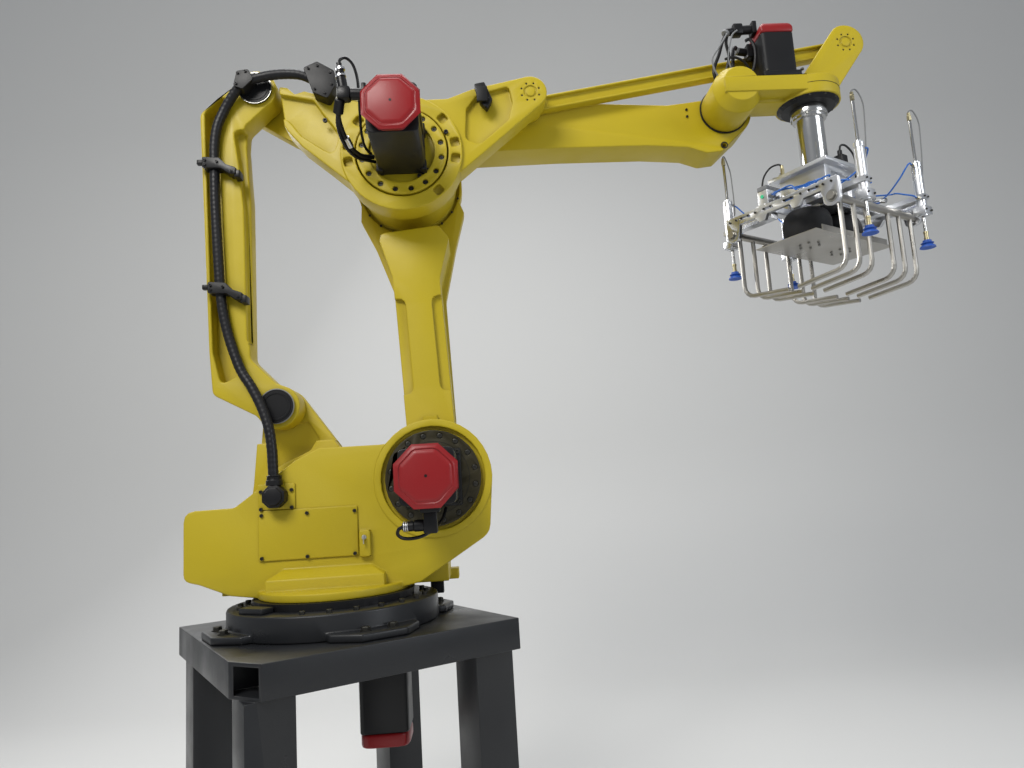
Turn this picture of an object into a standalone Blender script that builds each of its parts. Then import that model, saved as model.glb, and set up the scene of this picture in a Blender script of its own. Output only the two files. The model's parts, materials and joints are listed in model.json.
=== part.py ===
"""Four-axis parallel-link palletising robot on a welded stand, with a bag gripper.

Metres, +Z up. The origin is on the floor, in the middle of the machine's box at
rest. The arm reaches along +X, and -Y is the side that carries the motors. The
sizes and places below are counted from the slewing axis at floor level, which
stands at AXIS_PLACE. Every joint axis except the slewing and tool axes runs
along Y.
"""
import math

import bmesh
import bpy
from mathutils import Matrix, Vector

# Seats and running gaps
SEAT = 0.0003
RUNNING = 0.006
ROUND_STEPS = 36
CORNER_STEPS = 3

# The slewing axis, counted from the middle of the machine's box on the floor
AXIS_PLACE = (-0.8276, 0.009, 0.0)

# Stand
STAND_TOP = 1.072
STAND_SIDE = 0.900
STAND_TURN = math.radians(30.7)
STAND_CENTRE = (0.018, -0.009)
STAND_PLATE = 0.012
BEAM_HEIGHT = 0.100
BEAM_WALL = 0.010
BEAM_FLANGE = 0.062
LEG_SIDE = 0.140
LEG_INSET = 0.020
CORNER_CLIP = (0.061, 0.109)
FOOT_SIDE = 0.220
FOOT_THICK = 0.016

# Base casting and slewing ring
LOBE_THICK = 0.025
LOBE_REACH = 0.430
LOBE_WIDTH = 0.300
LOBE_CHAMFER = 0.075
RISER_HEIGHT = 0.0815
RISER_TOP = STAND_TOP + RISER_HEIGHT
SLEW_RADIUS = 0.277
RISER_RADIUS = SLEW_RADIUS + 0.083
SLEW_HEIGHT = 0.0245
BASE_BORE = 0.090
TURRET_FLOOR = RISER_TOP + SLEW_HEIGHT

# Joint places in the XZ plane
SHOULDER = Vector((0.367, 0.0, TURRET_FLOOR + 0.374))
LOWER_ARM_LENGTH = 1.2246
LOWER_ARM_LEAN = math.radians(-2.925)
REAR_LEVER = Vector((-0.547, 0.0, 0.288))
FRONT_LEVER = Vector((0.502, 0.0, 0.2325))
UPPER_ARM_REACH = Vector((1.3125, 0.0, 0.210))
TOOL_OFFSET = 0.304

LEAN_WAY = Vector((math.sin(LOWER_ARM_LEAN), 0.0, math.cos(LOWER_ARM_LEAN)))
ELBOW = SHOULDER + LOWER_ARM_LENGTH * LEAN_WAY
REAR_LOWER_PIVOT = SHOULDER + REAR_LEVER
REAR_UPPER_PIVOT = ELBOW + REAR_LEVER
FRONT_PIVOT = ELBOW + FRONT_LEVER
WRIST_PIVOT = ELBOW + UPPER_ARM_REACH
EAR_PIVOT = WRIST_PIVOT + FRONT_LEVER
TOOL_X = WRIST_PIVOT.x + TOOL_OFFSET
TURRET_MARK = Vector((0.0, 0.0, TURRET_FLOOR))
GLAND = SHOULDER + Vector((-0.542, 0.0, -0.032))

# Layers along Y
RING_FACE = -0.080
REAR_LINK_NEAR = -0.040
REAR_LINK_FAR = 0.060
REAR_ARM_NEAR = 0.070
REAR_ARM_FAR = 0.120
TURRET_FAR = 0.064
LOWER_ARM_NEAR = TURRET_FAR + RUNNING
LOWER_ARM_DISC = 0.260
LOWER_ARM_FAR = 0.320
CRANK_NEAR = -0.075
CRANK_WEB = CRANK_NEAR + 0.010
FRONT_WEB = CRANK_NEAR + 0.015
CRANK_FAR = 0.030
EAR_NEAR = 0.008
EAR_FAR = 0.032
UPPER_LINK_NEAR = 0.040
UPPER_LINK_FAR = 0.085
UPPER_ARM_NEAR = 0.100
UPPER_ARM_FAR = 0.250
WRIST_NEAR = -0.115
WRIST_FAR = 0.092

# Joint hubs
RING_RADIUS = 0.170
GROOVE_WIDTH = 0.013
HUB_RADIUS = RING_RADIUS + GROOVE_WIDTH + 0.025
BOLT_CIRCLE = RING_RADIUS - 0.020
BOLT_COUNT = 16
BOLT_POCKET = 0.0115
CRANK_HUB = HUB_RADIUS + 0.020
PIVOT_BOSS = 0.078
FRONT_BOSS = 0.064
EAR_BOSS = 0.075
LINK_EYE = 0.055
PIN_RADIUS = 0.030
POCKET_DEPTH = 0.020

# Motors
MOTOR_SIDE = 0.176
MOTOR_LENGTH = 0.330
MOTOR_CAP = 0.045
WRIST_MOTOR_SIDE = 0.130
WRIST_MOTOR_HEIGHT = 0.190

# Conduit
CONDUIT_RADIUS = 0.018
CONDUIT_STEPS = 10
CONDUIT_PARTS = 3
GLAND_SIDE = 0.076
GLAND_DEPTH = 0.050

# Wrist and tool
WRIST_BOTTOM = WRIST_PIVOT.z - 0.050
WRIST_TOP = WRIST_PIVOT.z + 0.027
HOUSING_RADIUS = 0.124
DRUM_RADIUS = 0.096
SEAL_HEIGHT = 0.014
GRIPPER_TURN = math.radians(30.6)
MAST_RADIUS = 0.052
MAST_FLANGE = 0.070
MAST_LENGTH = 0.285
MAST_BOTTOM = WRIST_BOTTOM - MAST_LENGTH
RAIL_U = 0.262
TINE_V = 0.217
RAIL_Z = MAST_BOTTOM - 0.217
RAIL_THICK = 0.016
FRAME_LOW = MAST_BOTTOM - 0.164
SPRING_TOP = MAST_BOTTOM - 0.170
TINE_US = (0.072, 0.148, 0.228)
TINE_LENGTH = 0.248
TINE_FLOOR = RAIL_Z - TINE_LENGTH
TINE_TIP = 0.020
TINE_RADIUS = 0.0085
SHAFT_RADIUS = 0.014
CUP_U = 0.188
CUP_V = 0.288
CUP_Z = MAST_BOTTOM - 0.357
PRESS_Z = MAST_BOTTOM - 0.300


def clear_scene():
    for item in list(bpy.data.objects):
        bpy.data.objects.remove(item, do_unlink=True)


def paint(name, color, roughness, metallic=0.0):
    material = bpy.data.materials.new(name)
    material.use_nodes = True
    shader = material.node_tree.nodes["Principled BSDF"]
    shader.inputs["Base Color"].default_value = (*color, 1.0)
    shader.inputs["Roughness"].default_value = roughness
    shader.inputs["Metallic"].default_value = metallic
    return material


clear_scene()

YELLOW = (0.78, 0.60, 0.03)
CHARCOAL = (0.045, 0.048, 0.052)
BLACK = (0.012, 0.012, 0.014)
RED = (0.45, 0.02, 0.03)
SILVER = (0.72, 0.73, 0.75)
STEEL = (0.55, 0.55, 0.54)
BLUE = (0.03, 0.08, 0.40)
OLIVE = (0.30, 0.24, 0.04)


def joint(name, place, parent=None):
    """Empty on a joint axis; the pieces that turn with it are its children."""
    empty = bpy.data.objects.new(name, None)
    bpy.context.scene.collection.objects.link(empty)
    empty["place"] = list(place)
    if parent:
        empty.parent = parent
        empty.location = Vector(place) - Vector(parent["place"])
    else:
        empty.location = place
    return empty


def link_mesh(name, shape, holder):
    """Object from a bmesh that was built in the model's frame, hung on its joint."""
    shape.transform(Matrix.Translation(-Vector(holder["place"])))
    bmesh.ops.recalc_face_normals(shape, faces=shape.faces)
    if shape.calc_volume(signed=True) < 0:
        bmesh.ops.reverse_faces(shape, faces=shape.faces)
    mesh = bpy.data.meshes.new(name)
    shape.to_mesh(mesh)
    shape.free()
    item = bpy.data.objects.new(name, mesh)
    bpy.context.scene.collection.objects.link(item)
    item.parent = holder
    return item


def node(name, shape, holder, color, roughness=0.45, metallic=0.0):
    item = link_mesh(name, shape, holder)
    item.data.materials.append(paint(name + "_finish", color, roughness, metallic))
    item.data.shade_smooth()
    item.data.set_sharp_from_angle(angle=math.radians(35))
    return item


def apply_tool(item, shape, operation, label):
    """Hidden helper that a Boolean adds to the node or cuts from it."""
    tool = link_mesh(item.name + "_" + label, shape, item.parent)
    tool.hide_render = True
    tool.display_type = 'WIRE'
    modifier = item.modifiers.new(label, 'BOOLEAN')
    modifier.operation = operation
    modifier.solver = 'EXACT'
    modifier.object = tool


def fuse(item, *shapes):
    for number, shape in enumerate(shapes):
        apply_tool(item, shape, 'UNION', "add_%d_%d" % (len(item.modifiers), number))


def cut(item, *shapes):
    for number, shape in enumerate(shapes):
        apply_tool(item, shape, 'DIFFERENCE', "cut_%d_%d" % (len(item.modifiers), number))


def around(place, offsets):
    """Outline corners (dx, dz, radius) counted from a joint's place."""
    return [(place[0] + corner[0], place[2] + corner[1], *corner[2:]) for corner in offsets]


def rounded(corners):
    """Outline whose corners (a, b, radius) are turned into arcs."""
    points = []
    count = len(corners)
    for index, corner in enumerate(corners):
        here = Vector(corner[:2])
        radius = corner[2] if len(corner) > 2 else 0.0
        if radius == 0.0:
            points.append(here)
            continue
        before = Vector(corners[index - 1][:2]) - here
        after = Vector(corners[(index + 1) % count][:2]) - here
        half = before.angle(after) / 2
        setback = min(radius / math.tan(half), 0.49 * before.length, 0.49 * after.length)
        start = here + before.normalized() * setback
        end = here + after.normalized() * setback
        for step in range(CORNER_STEPS + 1):
            t = step / CORNER_STEPS
            points.append(start * (1 - t) ** 2 + here * 2 * t * (1 - t) + end * t ** 2)
    return points


def rounded_box(low, high, radius):
    """Outline of a rectangle between two corners, with the same radius all round."""
    return rounded([(low[0], low[1], radius), (high[0], low[1], radius), (high[0], high[1], radius),
                    (low[0], high[1], radius)])


def arc(place, radius, start, end, steps=16):
    """Points in the XZ plane on an arc in degrees, counted from +X towards +Z."""
    points = []
    for step in range(steps + 1):
        angle = math.radians(start + (end - start) * step / steps)
        points.append(Vector((place[0] + radius * math.cos(angle), place[2] + radius * math.sin(angle))))
    return points


def prism_y(outline, near, far):
    """Solid with an XZ outline between two Y planes."""
    shape = bmesh.new()
    verts = [shape.verts.new((p[0], near, p[1])) for p in outline]
    face = shape.faces.new(verts)
    moved = bmesh.ops.extrude_face_region(shape, geom=[face])["geom"]
    top = [part for part in moved if isinstance(part, bmesh.types.BMVert)]
    bmesh.ops.translate(shape, verts=top, vec=(0.0, far - near, 0.0))
    return shape


def prism_z(outline, low, high):
    """Solid with an XY outline between two heights."""
    shape = bmesh.new()
    verts = [shape.verts.new((p[0], p[1], low)) for p in outline]
    face = shape.faces.new(verts)
    moved = bmesh.ops.extrude_face_region(shape, geom=[face])["geom"]
    top = [part for part in moved if isinstance(part, bmesh.types.BMVert)]
    bmesh.ops.translate(shape, verts=top, vec=(0.0, 0.0, high - low))
    return shape


def hull(points):
    """Smallest convex solid round the points."""
    shape = bmesh.new()
    verts = [shape.verts.new(point) for point in points]
    made = bmesh.ops.convex_hull(shape, input=verts)
    spare = {part for part in made["geom_interior"] + made["geom_unused"] if isinstance(part, bmesh.types.BMVert)}
    bmesh.ops.delete(shape, geom=list(spare), context='VERTS')
    return shape


def block(low, high):
    shape = bmesh.new()
    bmesh.ops.create_cube(shape, size=1.0)
    size = Vector(high) - Vector(low)
    bmesh.ops.scale(shape, verts=shape.verts, vec=size)
    bmesh.ops.translate(shape, verts=shape.verts, vec=(Vector(low) + Vector(high)) / 2)
    return shape


def rod(radius, start, end, steps=ROUND_STEPS, end_radius=None):
    """Round bar or cone between two points."""
    start, end = Vector(start), Vector(end)
    along = end - start
    shape = bmesh.new()
    bmesh.ops.create_cone(shape, cap_ends=True, segments=steps, radius1=radius,
                          radius2=radius if end_radius is None else end_radius, depth=along.length)
    shape.transform(Vector((0, 0, 1)).rotation_difference(along).to_matrix().to_4x4())
    shape.transform(Matrix.Translation((start + end) / 2))
    return shape


def disc_y(place, radius, near, far, steps=ROUND_STEPS):
    """Round bar along Y around a joint's place."""
    return rod(radius, (place[0], near, place[2]), (place[0], far, place[2]), steps)


def ring_y(place, inner, outer, near, far, steps=ROUND_STEPS):
    """Flat ring along Y around a joint's place."""
    shape = bmesh.new()
    corners = ((inner, near), (outer, near), (outer, far), (inner, far))
    loops = []
    for step in range(steps):
        angle = 2 * math.pi * step / steps
        loops.append([shape.verts.new((place[0] + r * math.cos(angle), y, place[2] + r * math.sin(angle)))
                      for r, y in corners])
    for loop, after in zip(loops, loops[1:] + loops[:1]):
        for index in range(len(corners)):
            following = (index + 1) % len(corners)
            shape.faces.new((loop[index], loop[following], after[following], after[index]))
    return shape


def merge(shapes):
    """Several separate bodies in one helper mesh."""
    total = bmesh.new()
    for shape in shapes:
        spare = bpy.data.meshes.new("spare")
        shape.to_mesh(spare)
        shape.free()
        total.from_mesh(spare)
        bpy.data.meshes.remove(spare)
    return total


def bolt_ring(place, circle, count, radius, near, far, first=0.0, steps=8):
    """Round bars along Y, evenly spaced on a bolt circle."""
    bars = []
    for index in range(count):
        angle = math.radians(first) + 2 * math.pi * index / count
        spot = Vector((place[0] + circle * math.cos(angle), 0.0, place[2] + circle * math.sin(angle)))
        bars.append(disc_y(spot, radius, near, far, steps))
    return merge(bars)


def spoke_pockets(place, inner, outer, width, angles, near, far):
    """Rounded pockets that point at a joint, one at each angle in degrees."""
    pockets = []
    for angle in angles:
        pocket = prism_y(rounded_box((inner, -width / 2), (outer, width / 2), width / 4), near, far)
        pocket.transform(Matrix.Rotation(-math.radians(angle), 4, 'Y'))
        pocket.transform(Matrix.Translation((place[0], 0.0, place[2])))
        pockets.append(pocket)
    return merge(pockets)


def bent_rod(radius, corners, bend, steps=10, bend_steps=4):
    """Round bar along straight runs, whose corners turn on the bend radius."""
    corners = [Vector(corner) for corner in corners]
    shape = bmesh.new()
    along = (corners[1] - corners[0]).normalized()
    turn = Vector((0, 0, 1)).rotation_difference(along).to_matrix().to_4x4()
    place = Matrix.Translation(corners[0]) @ turn
    bmesh.ops.create_circle(shape, cap_ends=False, segments=steps, radius=radius, matrix=place)
    ring = list(shape.edges)

    def push(edges):
        made = bmesh.ops.extrude_edge_only(shape, edges=edges)["geom"]
        verts = [part for part in made if isinstance(part, bmesh.types.BMVert)]
        edges = [part for part in made if isinstance(part, bmesh.types.BMEdge)]
        return verts, edges

    here = corners[0]
    for corner, after in zip(corners[1:], corners[2:] + [None]):
        along = (corner - here).normalized()
        onward = (after - corner).normalized() if after else along
        angle = along.angle(onward)
        setback = bend * math.tan(angle / 2)
        verts, ring = push(ring)
        bmesh.ops.translate(shape, verts=verts, vec=corner - along * setback - here)
        here = corner + onward * setback
        if after:
            axis = along.cross(onward).normalized()
            centre = corner - along * setback + axis.cross(along) * bend
            for _ in range(bend_steps):
                verts, ring = push(ring)
                bmesh.ops.rotate(shape, verts=verts, cent=centre, matrix=Matrix.Rotation(angle / bend_steps, 3, axis))
    bmesh.ops.holes_fill(shape, edges=[edge for edge in shape.edges if edge.is_boundary])
    return shape


def smooth_path(points, parts):
    """Smooth curve that passes through every point."""
    points = [Vector(point) for point in points]
    ends = [points[0] * 2 - points[1]] + points + [points[-1] * 2 - points[-2]]
    path = []
    for before, here, after, onward in zip(ends, ends[1:], ends[2:], ends[3:]):
        for part in range(parts):
            t = part / parts
            path.append(0.5 * (here * 2 + (after - before) * t
                               + (before * 2 - here * 5 + after * 4 - onward) * t ** 2
                               + (here * 3 - before - after * 3 + onward) * t ** 3))
    return path + [points[-1]]


def hose(radius, path, first=None, last=None, steps=CONDUIT_STEPS):
    """Round tube, closed at its ends, along a smooth path near the XZ plane; first and last are end directions."""
    shape = bmesh.new()
    loops = []
    ends = {0: first, len(path) - 1: last}
    for index, here in enumerate(path):
        run = path[min(index + 1, len(path) - 1)] - path[max(index - 1, 0)]
        along = (ends.get(index) or run).normalized()
        side = along.cross(Vector((0.0, 1.0, 0.0))).normalized()
        back = side.cross(along)
        turns = [2 * math.pi * step / steps for step in range(steps)]
        loops.append([shape.verts.new(here + (side * math.cos(a) + back * math.sin(a)) * radius) for a in turns])
    for loop, after in zip(loops, loops[1:]):
        for index in range(steps):
            following = (index + 1) % steps
            shape.faces.new((loop[index], loop[following], after[following], after[index]))
    shape.faces.new(loops[0])
    shape.faces.new(loops[-1])
    return shape


def lathe_z(place, profile, steps=24):
    """Solid turned about a vertical axis from (radius, height) corners."""
    shape = bmesh.new()
    loops = []
    for radius, height in profile:
        turns = [2 * math.pi * step / steps for step in range(steps)]
        loops.append([shape.verts.new((place[0] + radius * math.cos(a), place[1] + radius * math.sin(a), height))
                      for a in turns])
    for loop, after in zip(loops, loops[1:]):
        for index in range(steps):
            following = (index + 1) % steps
            shape.faces.new((loop[index], loop[following], after[following], after[index]))
    shape.faces.new(loops[0])
    shape.faces.new(loops[-1])
    return shape


def turned_stand(shape):
    turn = Matrix.Translation((*STAND_CENTRE, 0.0)) @ Matrix.Rotation(STAND_TURN, 4, 'Z')
    shape.transform(turn)
    return shape


def turned_tool(shape):
    """Moves a shape from the gripper's own u, v frame to its place under the wrist.

    u runs along local X and v along local -Y, so that v points towards the motors' side."""
    turn = Matrix.Translation((TOOL_X, 0.0, 0.0)) @ Matrix.Rotation(GRIPPER_TURN, 4, 'Z')
    shape.transform(turn)
    return shape


def turned_tool_point(u, v, z):
    cos, sin = math.cos(GRIPPER_TURN), math.sin(GRIPPER_TURN)
    return Vector((TOOL_X + u * cos - v * sin, u * sin + v * cos, z))


def octagon(place, side, near, far, tip=1.0):
    """Eight-sided cap along Y, whose near face is tip times as wide."""
    shape = bmesh.new()
    reach = side / 2 / math.cos(math.pi / 8)
    bmesh.ops.create_cone(shape, cap_ends=True, segments=8, radius1=reach, radius2=reach * tip, depth=far - near)
    shape.transform(Matrix.Rotation(math.pi / 8, 4, 'Z'))
    shape.transform(Matrix.Rotation(math.pi / 2, 4, 'X'))
    shape.transform(Matrix.Translation((place[0], (near + far) / 2, place[2])))
    return shape


def motor_along_y(name, place, face, holder):
    """Square motor that stands on the face, and its chamfered eight-sided cap."""
    half = MOTOR_SIDE / 2
    body_far = face - SEAT
    body_near = body_far - MOTOR_LENGTH
    outline = rounded_box((place[0] - half, place[2] - half), (place[0] + half, place[2] + half), 0.022)
    body = node(name, prism_y(outline, body_near, body_far), holder, BLACK, 0.5)
    flute = MOTOR_SIDE * 0.22
    for side in (-1, 1):
        edge = place[0] + side * half
        slot = rounded_box((edge - 0.006, place[2] - flute), (edge + 0.006, place[2] + flute), 0.004)
        cut(body, prism_y(slot, body_near + 0.050, body_far - 0.060))
    cap_far = body_near - SEAT
    rim = cap_far - MOTOR_CAP * 0.7
    cap = node(name + "_cap", octagon(place, MOTOR_SIDE, rim, cap_far), holder, RED, 0.4)
    fuse(cap, octagon(place, MOTOR_SIDE, cap_far - MOTOR_CAP, rim + SEAT, 0.86))


ROOT = joint("floor", (0.0, 0.0, 0.0))
ROOT.location = AXIS_PLACE
SLEW = joint("slewing_axis", TURRET_MARK, ROOT)
SHOULDER_AXIS = joint("shoulder_axis", SHOULDER, SLEW)
REAR_LINK_AXIS = joint("rear_link_axis", REAR_LOWER_PIVOT, SLEW)
CRANK_AXIS = joint("crank_axis", ELBOW, SHOULDER_AXIS)
ELBOW_AXIS = joint("elbow_axis", ELBOW, CRANK_AXIS)
UPPER_LINK_AXIS = joint("upper_link_axis", FRONT_PIVOT, CRANK_AXIS)
WRIST_AXIS = joint("wrist_axis", WRIST_PIVOT, ELBOW_AXIS)
TOOL_AXIS = joint("tool_axis", (TOOL_X, 0.0, WRIST_BOTTOM), WRIST_AXIS)


def make_stand():
    """Welded channel frame on four legs, with one corner of the frame left open."""
    half = STAND_SIDE / 2
    low = STAND_TOP - BEAM_HEIGHT
    high = STAND_TOP - STAND_PLATE
    inner = half - BEAM_WALL
    lip = half - BEAM_FLANGE
    leg_far = half - LEG_INSET
    leg_near = leg_far - LEG_SIDE
    plate = leg_near - LEG_INSET
    foot_spread = (FOOT_SIDE - LEG_SIDE) / 2
    stand = node("stand", turned_stand(block((-half, -half, low), (half, half, STAND_TOP))), ROOT, CHARCOAL, 0.5)
    cut(stand, turned_stand(block((-inner, -inner, low + BEAM_WALL), (inner, inner, high))))
    opening = prism_z([(-plate, -lip), (plate, -lip), (plate, -plate), (lip, -plate), (lip, plate), (plate, plate),
                       (plate, lip), (-plate, lip), (-plate, plate), (-lip, plate), (-lip, -plate), (-plate, -plate)],
                      low - 0.05, low + BEAM_WALL + 0.01)
    cut(stand, turned_stand(opening))
    for turn in range(4):
        leg = block((-leg_far, -leg_far, FOOT_THICK / 2), (-leg_near, -leg_near, low + BEAM_WALL / 2))
        foot = block((-leg_far - foot_spread, -leg_far - foot_spread, 0.0),
                     (-leg_near + foot_spread, -leg_near + foot_spread, FOOT_THICK))
        for piece in (leg, foot):
            piece.transform(Matrix.Rotation(math.pi / 2 * turn, 4, 'Z'))
            fuse(stand, turned_stand(piece))
    cut(stand, rod(BASE_BORE + 0.08, (0, 0, high - 0.05), (0, 0, STAND_TOP + 0.05)))
    first = Vector((CORNER_CLIP[0] - half, -half))
    last = Vector((-half, CORNER_CLIP[1] - half))
    beyond = (last - first) * 0.5
    corner = prism_z([first - beyond, last + beyond, (-half - 0.2, -half - 0.2)], low - 0.002, STAND_TOP + 0.05)
    cut(stand, turned_stand(corner))


def lobe_outline(reach, half, chamfer):
    """Cross bar of the base with its four ends chamfered."""
    return [(-reach, -half + chamfer), (-reach + chamfer, -half), (reach - chamfer, -half), (reach, -half + chamfer),
            (reach, half - chamfer), (reach - chamfer, half), (-reach + chamfer, half), (-reach, half - chamfer)]


def make_base():
    floor = STAND_TOP + SEAT
    base = node("base_casting", rod(RISER_RADIUS, (0, 0, floor), (0, 0, RISER_TOP)), ROOT, CHARCOAL, 0.5)
    for turn in (0.0, math.pi / 2):
        bar = prism_z(lobe_outline(LOBE_REACH, LOBE_WIDTH / 2, LOBE_CHAMFER), floor, floor + LOBE_THICK)
        bar.transform(Matrix.Rotation(STAND_TURN + turn, 4, 'Z'))
        fuse(base, bar)
    cut(base, rod(BASE_BORE, (0, 0, floor - 0.05), (0, 0, RISER_TOP + 0.05)))
    slew = rod(SLEW_RADIUS, (0, 0, RISER_TOP + SEAT), (0, 0, TURRET_FLOOR - SEAT))
    node("slewing_ring", slew, ROOT, BLACK, 0.5)
    box_inner = SLEW_RADIUS + 0.004
    box = block((-0.105, -RISER_RADIUS * 0.92, RISER_TOP + SEAT), (0.0, -box_inner, TURRET_FLOOR - RUNNING))
    box.transform(Matrix.Rotation(math.radians(-32), 4, 'Z'))
    node("base_connector_box", box, ROOT, CHARCOAL, 0.5)
    motor_side = 0.166
    motor_low = STAND_TOP - 0.359
    motor = prism_z(rounded_box((0.083, -motor_side / 2), (0.083 + motor_side, motor_side / 2), 0.020), motor_low,
                    STAND_TOP - STAND_PLATE - SEAT)
    node("base_motor", motor, ROOT, BLACK, 0.5)
    cap = prism_z(rounded_box((0.083, -motor_side / 2), (0.083 + motor_side, motor_side / 2), 0.040),
                  motor_low - SEAT - MOTOR_CAP, motor_low - SEAT)
    node("base_motor_cap", cap, ROOT, RED, 0.4)


def make_turret():
    outline = rounded(around(TURRET_MARK, [(-0.495, 0.074, 0.03), (-0.442, 0.060, 0.03), (-0.339, 0.017, 0.03),
                                           (-0.222, 0.0), (0.200, 0.0), (0.308, 0.021, 0.03), (0.556, 0.172, 0.06)])
                      + around(SHOULDER, [(HUB_RADIUS, 0.0), (0.053, 0.148), (-0.184, 0.128, 0.02),
                                          (-0.396, 0.128, 0.03), (-0.475, 0.092, 0.03), (-0.592, 0.008, 0.03),
                                          (-0.690, -0.062, 0.03), (-0.862, -0.0645, 0.04)]))
    turret = node("turret", prism_y(outline, RING_FACE, TURRET_FAR), SLEW, YELLOW, 0.35)
    rim = RING_FACE - 0.004
    fuse(turret, disc_y(SHOULDER, HUB_RADIUS, rim, TURRET_FAR))
    far_low = TURRET_MARK.z + RUNNING
    fuse(turret, block((-0.400, 0.02, far_low), (0.080, 0.270, far_low + 0.230)))
    fuse(turret, block((0.06, 0.03, far_low), (0.400, 0.250, far_low + 0.120)))
    fuse(turret, rod(SLEW_RADIUS - 0.020, TURRET_MARK, TURRET_MARK + Vector((0.0, 0.0, RUNNING + 0.02))))
    make_skirt(turret)
    make_ear(turret)
    key_box = rounded_box((0.105, SHOULDER.z - 0.254), (0.143, SHOULDER.z - 0.164), 0.006)
    fuse(turret, prism_y(key_box, RING_FACE - 0.020, RING_FACE + 0.01))
    groove_far = rim + 0.022
    cut(turret, ring_y(SHOULDER, RING_RADIUS, RING_RADIUS + GROOVE_WIDTH, rim - 0.02, groove_far))
    cut(turret, disc_y(SHOULDER, RING_RADIUS + 0.001, rim - 0.02, rim + 0.010))
    bar_low = TURRET_MARK.z - 0.010
    dog_x = RISER_RADIUS - 0.042
    fuse(turret, block((dog_x - 0.013, 0.220, bar_low), (dog_x + 0.112, 0.300, bar_low + 0.038)))
    dog = block((dog_x, 0.252, STAND_TOP + LOBE_THICK + 0.017), (dog_x + 0.050, 0.292, bar_low - SEAT))
    node("slew_dog", dog, SLEW, BLACK, 0.5)


def make_skirt(turret):
    """Apron over the slewing ring, with a sloping top."""
    low, mid, top = TURRET_MARK.z, TURRET_MARK.z + 0.064, TURRET_MARK.z + 0.094
    near = RING_FACE - 0.055
    foot = [(x, y, z) for x in (-0.206, 0.190) for y in (near, 0.0) for z in (low, mid)]
    crown = [(x, y, top) for x in (-0.156, 0.139) for y in (RING_FACE, 0.0)]
    fuse(turret, hull(foot + crown))


def make_ear(turret):
    """Rear bracket that carries the rear link, with its sunk panel."""
    pivot = REAR_LOWER_PIVOT
    base = SHOULDER.z - 0.16
    plate = (around(pivot, [(-0.132, base - pivot.z), (-0.105, -0.271), (-0.084, -0.060)])
             + [tuple(point) for point in arc(pivot, PIVOT_BOSS, 175, 38, 12)]
             + around(pivot, [(0.205, -0.155), (0.290, -0.205), (0.290, base - pivot.z)]))
    fuse(turret, prism_y(plate, REAR_ARM_NEAR, REAR_ARM_FAR))
    fuse(turret, prism_y(around(pivot, [(-0.132, base - pivot.z), (-0.105, -0.271), (-0.092, -0.125),
                                        (0.184, -0.125), (0.205, -0.155), (0.290, -0.205),
                                        (0.290, base - pivot.z)]), 0.020, REAR_ARM_NEAR + 0.02))
    panel = rounded(around(pivot, [(-0.052, -0.05), (-0.056, -0.232, 0.02), (0.030, -0.190, 0.02),
                                   (0.100, -0.160, 0.03), (0.126, -0.118, 0.02), (0.085, -0.05)]))
    cut(turret, prism_y(panel, -0.01, REAR_ARM_NEAR + 0.006))


def make_turret_trim():
    plate_near = RING_FACE - 0.006
    plate_far = RING_FACE - SEAT
    seam = SHOULDER.z - 0.076
    cover = rounded_box((-0.240, seam - 0.173), (0.100, seam - 0.002), 0.006)
    node("turret_cover", prism_y(cover, plate_near, plate_far), SLEW, YELLOW, 0.35)
    flange = rounded_box((-0.240, seam), (-0.112, seam + 0.088), 0.006)
    node("conduit_flange", prism_y(flange, plate_near, plate_far), SLEW, YELLOW, 0.35)
    gland = node("conduit_gland", octagon(GLAND, GLAND_SIDE, plate_near - GLAND_DEPTH, plate_near - SEAT),
                 SLEW, BLACK, 0.5)
    fuse(gland, octagon(GLAND, GLAND_SIDE * 0.86, plate_near - GLAND_DEPTH - 0.008, plate_near - 0.01, 0.9))
    ring_near = RING_FACE - 0.002
    ring_far = RING_FACE - 0.004 + 0.010 - SEAT
    ring = node("shoulder_ring", disc_y(SHOULDER, RING_RADIUS - 0.001, ring_near, ring_far), SLEW, OLIVE, 0.4, 0.3)
    cut(ring, bolt_ring(SHOULDER, BOLT_CIRCLE, BOLT_COUNT, BOLT_POCKET, ring_near - 0.02, ring_far - 0.003,
                        180 / BOLT_COUNT))
    motor_along_y("shoulder_motor", SHOULDER, ring_near, SLEW)


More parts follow.
